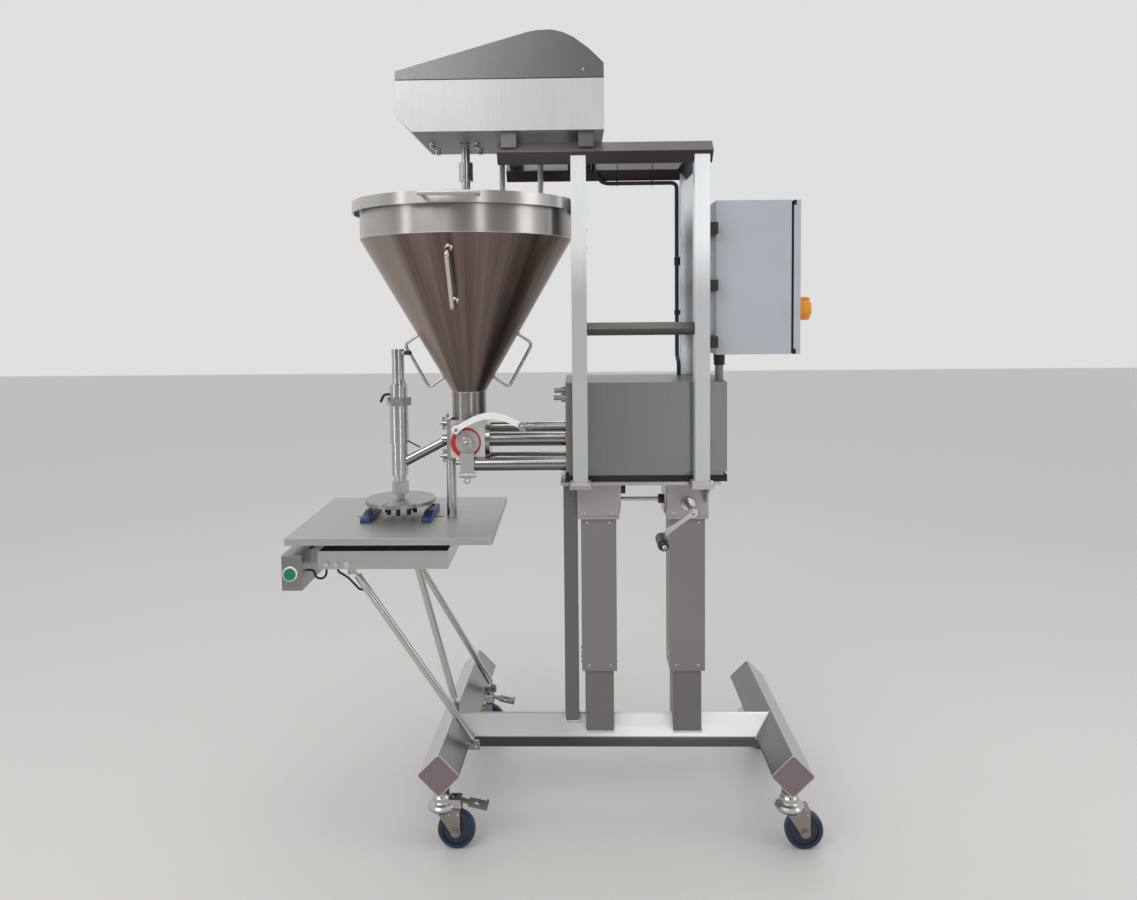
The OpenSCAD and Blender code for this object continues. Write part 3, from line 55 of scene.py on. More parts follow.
X, Y, Z = 0, 1, 2
FRONT, BACK = (0, -1, 0), (0, 1, 0)
LEFT, RIGHT = (-1, 0, 0), (1, 0, 0)
DOWN, UP = (0, 0, -1), (0, 0, 1)

# Places and sizes of the drawing, in millimetres. The shared frame lies beside it by the shift.
DRAWING_SHIFT = (62.0, -36.5, 0.0)
LEFT_LEG_X = -352.0
RIGHT_LEG_X = 553.0
LEFT_LEG_TURN = math.radians(2.7)
LEG_FRONT_Y = -250.0
LEFT_LEG_BACK_Y = 430.0
RIGHT_LEG_BACK_Y = 340.0
LEG_Z = 213.0
LEG_WIDTH = 80.0
LEG_ROUNDING = 7.0
LEG_HALF = LEG_WIDTH / math.sqrt(2.0)
BEAM_Z = 211.5
BEAM_HALF = 76.0 / math.sqrt(2.0)
BEAM_EDGE_FLAT = 4.0
COLUMN_X = (62.0, 308.0)
OUTER_HALF = 49.0
HEAD_HALF = 57.0
LOWER_HALF = 40.0
GUIDE_X = -16.0
GUIDE_HALF = 20.0
UPRIGHT_X = (12.0, 336.0)
FOOT_PLATE_Z = 958.0
HOPPER_X = -300.0
NECK_RADIUS, NECK_Z = 48.0, 1193.0
BAND_RADIUS, BAND_Z = 292.0, 1614.0
HANDLE_TURN = math.radians(-2.5)
NOZZLE_X = -500.0
HOOD_FLOOR_Z = 1883.0
COVER_Z = 2016.5
ROTOR_Z = 1055.0
ACTUATOR_X, ACTUATOR_Z = -145.0, 1100.0
SHAFT_Z = 882.0
CRANK_Y = -159.0
CRANK_TURN = math.radians(53.0)
CRANK_LENGTH = 108.0
WHEEL_X, WHEEL_Z = 38.0, 50.0
CASTERS = {"fl": (True, -208.0), "bl": (True, 388.0), "fr": (False, -208.0), "br": (False, 298.0)}

# Routes of the leads, with the reach and the steps of their rounded corners.
LEAD_X, LEAD_Y = 308.0, 184.0
MOTOR_ROUTE = [
    (60, 148, HOOD_FLOOR_Z), (60, 148, 1818), (90, LEAD_Y, 1794), (LEAD_X, LEAD_Y, 1794),
    (LEAD_X, LEAD_Y, 1275), (LEAD_X, 140, 1258), (LEAD_X, 140, 1222),
]
MOTOR_CORNERS = (18, 6)
BOX_ROUTE = [
    (-712, -180, 736), (-698, -180, 736), (-690, -184, 716),
    (-672, -186, 714), (-662, -186, 726), (-662, -186, 744),
]
BOX_CORNERS = (7, 5)
STRUT_ROUTE = [
    (-632, -186, 744), (-632, -186, 734), (-610, -168, 712),
    (-585.9, -140.2, 668.95), (-565.9, -140.2, 668.95),
]
STRUT_CORNERS = (8, 5)
TIE_X = (130, 235)
TIE_OUTLINE = [(185, 1860.2), (215.5, 1830), (192, 1790), (184, 1786), (176, 1790), (154.5, 1830)]
TIE_RADIUS = 0.0012
CLIP_HEIGHTS = ((1548, 1572), (1400, 1414))
CLIP_SEAT_X, CLIP_WING_X = 315.9, 314.4
CLIP_OUTER, CLIP_INNER = 7.9, 6.3

# Colours of small parts, blacks that serve as painted shade too, and the sheen of the dullest steel.
# The first black is the cabinet gasket and the crank grip, and also painted shade under the housing and in the door's
# corners.
SEAL_AND_SHADE_BLACK = (0.012, 0.012, 0.013)
HOSE_BLACK = (0.015, 0.015, 0.016)
RUBBER_BLACK = (0.016, 0.016, 0.017)
COLLAR_BLACK = (0.018, 0.018, 0.019)
NYLON_BLACK = (0.02, 0.02, 0.021)
TIP_BLACK = (0.02, 0.02, 0.022)
# Painted shade in the screw sockets.
SOCKET_SHADE = (0.02, 0.02, 0.02)
RING_WHITE = (0.78, 0.78, 0.77)
CAP_BROWN = (0.245, 0.190, 0.213)
DULL_SHEEN = (0.3, 0.29, 0.29)


def at(x, y, z):
    """A point of the drawing, in millimetres, as a place in the shared frame."""
    return Vector([(v + s) / 1000.0 for v, s in zip((x, y, z), DRAWING_SHIFT)])


def on_left_leg(x, y, z):
    """A point of the left leg's own drawing, which stands a little askew."""
    c, s = math.cos(LEFT_LEG_TURN), math.sin(LEFT_LEG_TURN)
    return at(LEFT_LEG_X + x * c + y * s, -x * s + y * c, z)


def on_right_leg(x, y, z):
    """A point of the right leg's own drawing."""
    return at(RIGHT_LEG_X + x, y, z)


def cone_radius(z):
    """Radius of the hopper's cone at a height."""
    return NECK_RADIUS + (BAND_RADIUS - NECK_RADIUS) * (z - NECK_Z) / (BAND_Z - NECK_Z)


def length_prop(label, about, value):
    """A size that a user may change, in metres."""
    return bpy.props.FloatProperty(
        name=label, description=about, default=value, min=0.0, unit="LENGTH", precision=5)


def colour_prop(label, about, value):
    """A colour that a user may change."""
    return bpy.props.FloatVectorProperty(
        name=label, description=about, default=value, size=3, min=0.0, max=1.0, subtype="COLOR")


def share_prop(label, about, value):
    """A share between nothing and all."""
    return bpy.props.FloatProperty(
        name=label, description=about, default=value, min=0.0, max=1.0, subtype="FACTOR")


def power_prop(label, about, value):
    """The power of a lamp, in watts."""
    return bpy.props.FloatProperty(name=label, description=about, default=value, min=0.0, unit="POWER")


class DepositorFinishSettings(bpy.types.PropertyGroup):
    """Colours and gloss of the machine's surfaces."""

    steel: colour_prop("Brushed steel", "Colour of the brushed sheet and tube", (0.50, 0.495, 0.485))
    polish: colour_prop("Polished steel", "Colour of the polished pipes and rods", (0.60, 0.59, 0.575))
    hopper: colour_prop("Turned steel", "Colour of the turned hopper and lid", (0.50, 0.475, 0.455))
    cover: colour_prop("Hood cover", "Colour of the darker upper part of the hood", (0.27, 0.265, 0.262))
    column: colour_prop("Columns", "Colour of the lift columns", (0.225, 0.207, 0.222))
    cabinet: colour_prop("Cabinet", "Paint of the control cabinet", (0.40, 0.435, 0.47))
    tyre: colour_prop("Tyre", "Colour of the caster tyres", (0.006, 0.022, 0.060))
    jaw: colour_prop("Jaws", "Colour of the centring jaws", (0.008, 0.038, 0.130))
    link: colour_prop("Link", "Colour of the curved valve link", (0.80, 0.81, 0.82))
    sign: colour_prop("Valve disc", "Colour of the disc behind the valve keeper", (0.55, 0.012, 0.018))
    button: colour_prop("Push button", "Colour of the start button", (0.004, 0.19, 0.075))
    knob: colour_prop("Main switch", "Colour of the main switch knob", (0.80, 0.30, 0.012))
    steel_gloss: share_prop("Steel roughness", "Roughness of the brushed steel", 0.34)
    polish_gloss: share_prop("Polish roughness", "Roughness of the polished steel", 0.19)


class DepositorFastenerSettings(bpy.types.PropertyGroup):
    """Sizes of screws, beads, threads and leads."""

    screw_radius: length_prop("Screw radius", "Radius of the button head screws on the columns", 0.0056)
    screw_height: length_prop("Screw height", "Height of the button head screws", 0.0034)
    small_radius: length_prop("Small screw radius", "Radius of the small screws", 0.0040)
    bolt_radius: length_prop("Bolt radius", "Radius of the hexagon bolts", 0.0050)
    bead_radius: length_prop("Bead radius", "Radius of the weld beads", 0.0024)
    bead_pitch: length_prop("Bead ripple", "Length of one ripple in a weld bead", 0.0042)
    edge: length_prop("Edge", "Width of the broken edges of sheet and tube", 0.0012)
    thread_pitch: length_prop("Thread pitch", "Distance between two turns of a thread", 0.0022)
    motor_lead: length_prop("Motor lead radius", "Radius of the lead from hood to housing", 0.006)
    button_lead: length_prop("Button lead radius", "Radius of the push button leads", 0.003)


class DepositorStudioSettings(bpy.types.PropertyGroup):
    """Floor, light and camera."""

    floor: colour_prop("Floor", "Colour of the studio floor", (0.62, 0.60, 0.585))
    wall: colour_prop("Surroundings", "Colour of the surroundings behind the machine", (0.74, 0.74, 0.735))
    dusk: colour_prop("Room", "Colour of the room behind the camera", (0.13, 0.125, 0.12))
    lens: bpy.props.FloatProperty(
        name="Lens", description="Focal length of the camera", default=26.88, min=1.0, unit="CAMERA")
    key: power_prop("Key lamp", "Power of the large lamp", 34.0)
    fill: power_prop("Fill lamp", "Power of the side lamp", 13.0)
    strip: power_prop("Strip lamps", "Power of the tall strip lamps", 9.0)


class Wire:
    """An output of a node that takes part in Python sums."""

    def __init__(self, sheet, socket):
        self.sheet = sheet
        self.socket = socket

    def out(self, key):
        """Another output of the same node."""
        return Wire(self.sheet, self.socket.node.outputs[key])

    def __add__(self, other):
        return self.sheet.sum_of("ADD", self, other)

    __radd__ = __add__

    def __sub__(self, other):
        return self.sheet.sum_of("SUBTRACT", self, other)

    def __rsub__(self, other):
        return self.sheet.sum_of("SUBTRACT", other, self)

    def __mul__(self, other):
        return self.sheet.sum_of("MULTIPLY", self, other)

    __rmul__ = __mul__


class Sheet:
    """A node tree with one way to add a node to it."""

    def __init__(self, tree):
        self.tree = tree

    def feed(self, socket, value):
        """Links a wire, or several, to a socket, or sets the socket's own value."""
        if isinstance(value, Wire):
            self.tree.links.new(value.socket, socket)
        elif isinstance(value, list) and value and isinstance(value[0], Wire):
            for wire in value:
                self.tree.links.new(wire.socket, socket)
        elif socket.type == "RGBA" and len(value) == 3:
            socket.default_value = (*value, 1.0)
        else:
            socket.default_value = value

    def node(self, kind, settings=None, inputs=None, out=0):
        """Adds one node with its settings and inputs, and gives one of its outputs."""
        made = self.tree.nodes.new(kind)
        for key, value in (settings or {}).items():
            setattr(made, key, value)
        for key, value in (inputs or {}).items():
            self.feed(made.inputs[key], value)
        return Wire(self, made.outputs[out] if len(made.outputs) else None)

    def maths(self, operation, first):
        """One Math node with a single input."""
        return self.node("ShaderNodeMath", {"operation": operation}, {0: first})

    def sum_of(self, operation, first, second):
        """One Math node with two inputs."""
        return self.node("ShaderNodeMath", {"operation": operation}, {0: first, 1: second})

    def either(self, mask, *others):
        """The largest of several masks."""
        for other in others:
            mask = self.sum_of("MAXIMUM", mask, other)
        return mask

    def ramp(self, value, start, end, curve="SMOOTHSTEP"):
        """0 to 1 while a value goes from start to end."""
        limits = {"Value": value, "From Min": start, "From Max": end}
        return self.node("ShaderNodeMapRange", {"interpolation_type": curve}, limits)

    def blend(self, share, first, second):
        """A colour between two colours."""
        return self.node("ShaderNodeMix", {"data_type": "RGBA"}, {0: share, 6: first, 7: second}, 2)


# How soft the edge of a mask is, in millimetres.
MASK_SOFT = 0.2
FOLD_SOFT = 1.5


class Finish(Sheet):
    """A material in the making."""

    def __init__(self, name):
        self.material = bpy.data.materials.new(name)
        self.material.use_nodes = True
        super().__init__(self.material.node_tree)
        self.tree.nodes.clear()
        self.shader = self.tree.nodes.new("ShaderNodeBsdfPrincipled")
        end = self.tree.nodes.new("ShaderNodeOutputMaterial")
        self.tree.links.new(self.shader.outputs[0], end.inputs[0])
        self.place = self.node("ShaderNodeTexCoord", out="Object")
        parts = self.node("ShaderNodeSeparateXYZ", None, {0: self.place})
        self.axes = self.x, self.y, self.z = parts, parts.out(Y), parts.out(Z)

    def give(self, **values):
        """Feeds the shader's own sockets."""
        for key, value in values.items():
            self.feed(self.shader.inputs[key.replace("_", " ")], value)
        return self

    def colour(self):
        """What feeds the shader's colour so far."""
        return Wire(self, self.shader.inputs["Base Color"].links[0].from_socket)

    def noise(self, stretch, detail=2.0, where=None):
        """Noise with its own scale along each axis."""
        spread = self.node("ShaderNodeMapping", None, {"Vector": where or self.place, "Scale": stretch})
        return self.node("ShaderNodeTexNoise", None, {"Vector": spread, "Scale": 1.0, "Detail": detail})

    def even_noise(self, scale, detail):
        """Noise with the same scale along each axis."""
        return self.noise((scale, scale, scale), detail)

    def past(self, value, edge, soft=MASK_SOFT / 1000.0):
        """1 where a value lies above an edge and 0 below it."""
        return self.ramp(value, edge - soft, edge + soft)

    def beyond(self, axis, edge, soft=MASK_SOFT):
        """1 past a millimetre of the drawing's X, Y or Z, and 0 before it."""
        return self.past(self.axes[axis], (edge + DRAWING_SHIFT[axis]) / 1000.0, soft / 1000.0)

    def short_of(self, axis, edge, soft=MASK_SOFT):
        """1 before a millimetre of the drawing's X, Y or Z, and 0 past it."""
        return 1.0 - self.beyond(axis, edge, soft)

    def between(self, axis, low, high, soft=MASK_SOFT):
        """1 between two millimetres of the drawing's X, Y or Z."""
        return self.beyond(axis, low, soft) * self.short_of(axis, high, soft)

    def reach(self, centre, axis):
        """Distance from a line through a place."""
        away = self.node("ShaderNodeVectorMath", {"operation": "SUBTRACT"}, {0: self.place, 1: tuple(centre)})
        across = self.node("ShaderNodeVectorMath", {"operation": "CROSS_PRODUCT"}, {0: away, 1: tuple(axis)})
        return self.node("ShaderNodeVectorMath", {"operation": "LENGTH"}, {0: across}, "Value")

    def around(self, centre, axis, radius):
        """1 within a radius, in millimetres, of a line through a point of the drawing."""
        return 1.0 - self.past(self.reach(at(*centre), axis), radius / 1000.0)

    def bump(self, height, strength, distance):
        """A normal that follows a height."""
        return self.node("ShaderNodeBump", None, {"Height": height, "Strength": strength, "Distance": distance})


def toned(colour, share):
    """A colour made lighter or darker, kept within range."""
    return tuple(min(1.0, max(0.0, c * share)) for c in colour)


# Scales of the marks in brushed and turned steel, per metre.
BRUSH_ACROSS, BRUSH_ALONG, BRUSH_BAND = 620.0, 9.0, 0.17
RING_FINE, RING_BAND = 760.0, 90.0
STEEL_CLOUD = 4.2
STEEL_WIPE = (17.0, 11.0, 23.0)


def steel_finish(name, tone, rough, along=None, turned=None, grain=1.0):
    """Steel with its brushing along an axis or round a turning axis, and faint wiping marks."""
    f = Finish(name)
    if turned is not None:
        rings = f.node("ShaderNodeCombineXYZ", None, {X: f.reach(turned, UP), Y: f.z, Z: 0.0})
        fine = f.noise((RING_FINE, RING_FINE, 1.0), 3.0, rings)
        band = f.noise((RING_BAND, RING_BAND, 1.0), 2.0, rings)
    else:
        stretch = [BRUSH_ALONG if axis == along else BRUSH_ACROSS for axis in (X, Y, Z)]
        fine = f.noise(tuple(stretch), 3.0)
        band = f.noise(tuple(s * BRUSH_BAND for s in stretch), 2.0)
    cloud = f.even_noise(STEEL_CLOUD, 4.0)
    wipe = f.noise(STEEL_WIPE, 3.0)
    f.shade = 0.5 + (fine - 0.5) * (0.55 * grain) + (band - 0.5) * (0.45 * grain) + (cloud - 0.5) * 0.7
    f.give(
        Base_Color=f.blend(f.shade, toned(tone, 0.84), toned(tone, 1.13)),
        Metallic=1.0,
        Roughness=rough + (fine - 0.5) * (0.15 * grain) + (cloud - 0.5) * 0.10 + (wipe - 0.5) * 0.09,
        Normal=f.bump(fine * 0.7 + band * 0.3, 0.10 * grain, 0.0004),
    )
    return f


# Scales of the blotches and the rubbed gloss of paint, plastic and rubber, per metre.
PAINT_CLOUD, PAINT_RUB = 7.0, 38.0


def plain_finish(name, tone, rough, peel=700.0, depth=0.08, metal=0.0):
    """Paint, plastic or rubber with a faint skin, blotches and rubbed gloss."""
    f = Finish(name)
    skin = f.even_noise(peel, 2.0)
    cloud = f.even_noise(PAINT_CLOUD, 4.0)
    rub = f.even_noise(PAINT_RUB, 3.0)
    shade = 0.5 + (cloud - 0.5) * 0.8 + (skin - 0.5) * 0.35
    f.give(
        Base_Color=f.blend(shade, toned(tone, 0.88), toned(tone, 1.10)),
        Metallic=metal,
        Roughness=rough + (rub - 0.5) * 0.16 + (skin - 0.5) * 0.06,
        Normal=f.bump(skin, depth, 0.0005),
    )
    return f


def painted_over(f, mask, tone, rough, metal=0.0):
    """Covers part of a finish, where the mask is 1, with another colour."""
    f.give(Base_Color=f.blend(mask, f.colour(), tone))
    for name, value in (("Roughness", rough), ("Metallic", metal)):
        socket = f.shader.inputs[name]
        if socket.is_linked:
            f.feed(socket, Wire(f, socket.links[0].from_socket) * (1.0 - mask) + mask * value)
        elif abs(socket.default_value - value) > 1e-6:
            f.feed(socket, socket.default_value + mask * (value - socket.default_value))
    return f


def shaded(f, mask, share, tint=(0.0, 0.0, 0.0)):
    """Paints shade: keeps only a share of a finish's colour where the mask is 1, and the rest goes to a tint."""
    return f.give(Base_Color=f.blend(mask * (1.0 - share), f.colour(), tint))


def undershade(f, share, tint=(0.030, 0.021, 0.017)):
    """Paints shade and a brownish floor reflection on the faces that look down, as on a round bar above a dark floor.
    """
    facing = f.node("ShaderNodeTexCoord", out="Normal")
    height = f.node("ShaderNodeSeparateXYZ", None, {0: facing}, Z)
    return shaded(f, f.ramp(height, 0.12, -0.45), share, tint)


def wear(node, finish):
    """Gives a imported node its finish."""
    if node not in NODES:
        raise RuntimeError("there is no packed node named " + node)
    mesh = NODES[node].data
    mesh.materials.clear()
    mesh.materials.append(finish.material)


class Recipe(Sheet):
    """A geometry node tree with named inputs that ends in realized, dressed geometry."""

    def __init__(self, name, *inputs):
        super().__init__(bpy.data.node_groups.new(name, "GeometryNodeTree"))
        face = self.tree.interface
        face.new_socket("Geometry", in_out="INPUT", socket_type="NodeSocketGeometry")
        self.keys = {}
        for label in (*inputs, "Finish"):
            kind = "NodeSocketMaterial" if label == "Finish" else "NodeSocketFloat"
            self.keys[label] = face.new_socket(label, in_out="INPUT", socket_type=kind).identifier
        face.new_socket("Geometry", in_out="OUTPUT", socket_type="NodeSocketGeometry")
        self.source = self.tree.nodes.new("NodeGroupInput")
        self.sink = self.tree.nodes.new("NodeGroupOutput")

    def given(self, label):
        """One of the tree's inputs."""
        return Wire(self, self.source.outputs[label])

    def close(self, shape, smooth=True):
        """Ends the tree."""
        whole = self.node("GeometryNodeRealizeInstances", None, {"Geometry": shape})
        if smooth:
            whole = self.node("GeometryNodeSetShadeSmooth", None, {"Geometry": whole})
        dressed = self.node("GeometryNodeSetMaterial", None, {"Geometry": whole, "Material": self.given("Finish")})
        self.tree.links.new(dressed.socket, self.sink.inputs[0])
        return self

    def cone(self, sides, bottom, top, height, lift):
        """A short cone, raised by lift."""
        sizes = {"Vertices": sides, "Radius Top": top, "Radius Bottom": bottom, "Depth": height}
        up = self.node("ShaderNodeCombineXYZ", None, {Z: lift})
        return self.node(
            "GeometryNodeTransform", None,
            {"Geometry": self.node("GeometryNodeMeshCone", None, sizes), "Translation": up})

    def on_points(self, shape):
        """The shape on every point of the seed, its Z along the point's facing."""
        facing = self.node("GeometryNodeInputNamedAttribute", {"data_type": "FLOAT_VECTOR"}, {"Name": "facing"})
        turn = self.node("FunctionNodeAlignRotationToVector", {"axis": "Z"}, {"Vector": facing})
        dots = self.node("GeometryNodeMeshToPoints", None, {"Mesh": self.given("Geometry")})
        return self.node("GeometryNodeInstanceOnPoints", None, {"Points": dots, "Instance": shape, "Rotation": turn})

    def circle(self, sides, radius):
        """A round line."""
        return self.node("GeometryNodeCurvePrimitiveCircle", None, {"Resolution": sides, "Radius": radius})

    def swept(self, line, radius, sides, scale=1.0, caps=True):
        """A round bar along a line."""
        return self.node(
            "GeometryNodeCurveToMesh", None,
            {"Curve": line, "Profile Curve": self.circle(sides, radius), "Scale": scale, "Fill Caps": caps})

    def path(self):
        """The seed's edges as a line."""
        return self.node("GeometryNodeMeshToCurve", None, {"Mesh": self.given("Geometry")})


# Heads and washers as cones on top of each other: sides, lower and upper share of the
# radius, and the shares of the height at which each cone starts and that it takes.
STACKS = {
    "button_heads": ((20, 1.0, 0.97, 0.0, 0.3), (20, 0.97, 0.8, 0.3, 0.4), (20, 0.8, 0.46, 0.7, 0.3)),
    "hexagon_bolts": ((24, 1.35, 1.3, 0.0, 0.25), (6, 1.0, 1.0, 0.25, 0.7), (6, 1.0, 0.8, 0.95, 0.12)),
    "flat_discs": ((36, 1.0, 1.0, 0.0, 0.7), (36, 1.0, 0.93, 0.7, 0.3)),
}


def stack_recipe(name):
    """Screw heads, bolt heads or washers on points."""
    r = Recipe(name, "Radius", "Height")
    radius, height = r.given("Radius"), r.given("Height")
    cones = [
        r.cone(sides, radius * low, radius * high, height * share, height * start)
        for sides, low, high, start, share in STACKS[name]
    ]
    whole = r.node("GeometryNodeJoinGeometry", None, {"Geometry": cones})
    return r.close(r.on_points(whole), False)


def socket_recipe(name):
    """Flat dark hexagons a hair above the screws' heads, painted shade that stands for their sockets."""
    r = Recipe(name, "Radius", "Height")
    hole = r.cone(6, r.given("Radius") * 0.42, r.given("Radius") * 0.40, 0.0001, r.given("Height"))
    return r.close(r.on_points(hole), False)


def bead_recipe(name):
    """Weld bead with ripples along a line."""
    r = Recipe(name, "Radius", "Ripple")
    step = r.given("Ripple") * 0.5
    line = r.node("GeometryNodeResampleCurve", {"mode": "LENGTH"}, {"Curve": r.path(), "Length": step})
    count = r.node("GeometryNodeInputIndex")
    drift = r.maths("SINE", count * 0.37)
    odd = r.sum_of("MODULO", count, 2.0)
    return r.close(r.swept(line, r.given("Radius"), 8, 0.84 + odd * 0.22 + drift * 0.08, False))


def lead_recipe(name):
    """Round bar or lead along a line."""
    r = Recipe(name, "Radius")
    return r.close(r.swept(r.path(), r.given("Radius"), 20))


def ring_recipe(name):
    """Thin rings on points, for threads."""
    r = Recipe(name, "Radius", "Wire")
    return r.close(r.on_points(r.swept(r.circle(32, r.given("Radius")), r.given("Wire"), 6, 1.0, False)))


MAKERS = {
    **{name: stack_recipe for name in STACKS},
    "screw_sockets": socket_recipe,
    "weld_bead": bead_recipe,
    "round_lead": lead_recipe,
    "thin_rings": ring_recipe,
}
RECIPES = {}


def recipe(name):
    """A recipe, made once."""
    if name not in RECIPES:
        RECIPES[name] = MAKERS[name](name)
    return RECIPES[name]


def seated(piece, body):
    """Lets a piece move with its body."""
    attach(piece, body)
    return piece


def linked(name, mesh):
    """A new object of the scene."""
    piece = bpy.data.objects.new(name, mesh)
    bpy.context.scene.collection.objects.link(piece)
    return piece


def grown(name, seed, kind, values, finish, body):
    """Runs a recipe on a seed mesh and seats the plain mesh piece that comes of it."""
    tree = recipe(kind)
    carrier = linked(name + "_seed", seed)
    step = carrier.modifiers.new("recipe", "NODES")
    step.node_group = tree.tree
    for label, value in values.items():
        step[tree.keys[label]] = value
    step[tree.keys["Finish"]] = finish.material
    graph = bpy.context.evaluated_depsgraph_get()
    mesh = bpy.data.meshes.new_from_object(carrier.evaluated_get(graph), depsgraph=graph)
    carrier.modifiers.remove(step)
    bpy.data.objects.remove(carrier)
    if not mesh.polygons:
        raise RuntimeError("nothing came of " + name)
    mesh.name = name
    return seated(linked(name, mesh), body)


def on_spots(name, spots, kind, sizes, finish, body):
    """Grows a shape on places, each with the way it faces; the sizes go to the recipe's inputs in order."""
    seed = bpy.data.meshes.new(name + "_spots")
    seed.from_pydata([place for place, _ in spots], [], [])
    facing = seed.attributes.new("facing", "FLOAT_VECTOR", "POINT")
    for k, (_, way) in enumerate(spots):
        facing.data[k].vector = way
    return grown(name, seed, kind, dict(zip(recipe(kind).keys, sizes)), finish, body)


def on_lines(name, lines, closed, kind, sizes, finish, body):
    """Grows a shape along lines of places; the sizes go to the recipe's inputs in order."""
    verts, edges = [], []
    for points in lines:
        first = len(verts)
        verts += [tuple(p) for p in points]
        edges += [(k, k + 1) for k in range(first, len(verts) - 1)]
        if closed:
            edges.append((len(verts) - 1, first))
    seed = bpy.data.meshes.new(name + "_lines")
    seed.from_pydata(verts, edges, [])
    return grown(name, seed, kind, dict(zip(recipe(kind).keys, sizes)), finish, body)


def rounded(points, reach, steps):
    """A route of the drawing with its inner corners rounded, in the shared frame."""
    out = [Vector(points[0])]
    for k in range(1, len(points) - 1):
        a, p, b = (Vector(points[k + j]) for j in (-1, 0, 1))
        start, end = p + reach * (a - p).normalized(), p + reach * (b - p).normalized()
        for i in range(steps + 1):
            t = i / steps
            out.append((1 - t) ** 2 * start + 2 * t * (1 - t) * p + t * t * end)
    out.append(Vector(points[-1]))
    return [at(*p) for p in out]


BRUSHED_NODES = {
    X: ("cross_beam", "top_frame", "table_top", "table_frame", "carriage_frame", "button_box"),
    Y: ("left_leg", "right_leg"),
    Z: ("front_uprights", "rear_uprights", "guide_post", "valve_block"),
}
EDGED_NODES = (
    "hood", "housing", "table_top", "table_frame", "cabinet", "cabinet_door", "outer_columns", "lower_columns",
    "cross_beam", "front_uprights", "rear_uprights", "top_frame", "button_box", "jaw_left", "jaw_right",
    "left_leg", "right_leg", "carriage_frame", "valve_block", "guide_post",
)
EDGE_ANGLE = math.radians(40.0)
WELD_REACH = 0.00002
BARS = ("pump_barrels", "carrier_bars", "outlet_tube", "actuator_rod", "cross_shaft")
POLISHED_NODES = (
    "pump_barrels", "carrier_bars", "pump_piston", "actuator_rod", "outlet_tube", "nozzle_plunger", "agitator",
    "spindle_left", "spindle_right", "crank_arm", "strut_front", "strut_mid", "strut_rear", "hopper_handles",
    "valve_rotor", "gear_motor",
)
# How light each node is painted beside the steel's own colour: painted light and shade that stand for the light and
# reflections falling on each part.
PAINTED_LIGHT_SHARES = {
    "front_uprights": 1.8, "rear_uprights": 1.65, "guide_post": 0.42, "button_box": 0.66, "cross_beam": 1.9,
    "left_leg": 1.3, "right_leg": 1.15, "table_frame": 1.15, "top_frame": 0.5, "valve_block": 1.5,
    "pump_barrels": 0.95, "carrier_bars": 0.95, "strut_front": 0.9, "strut_mid": 0.9, "strut_rear": 0.9,
}
# The uprights carry a blue tint, a painted reflection of the pale surroundings, and the table is duller.
UPRIGHT_REFLECTION_TINT = (0.98, 1.08, 1.19)
TABLE_DULL = 0.14


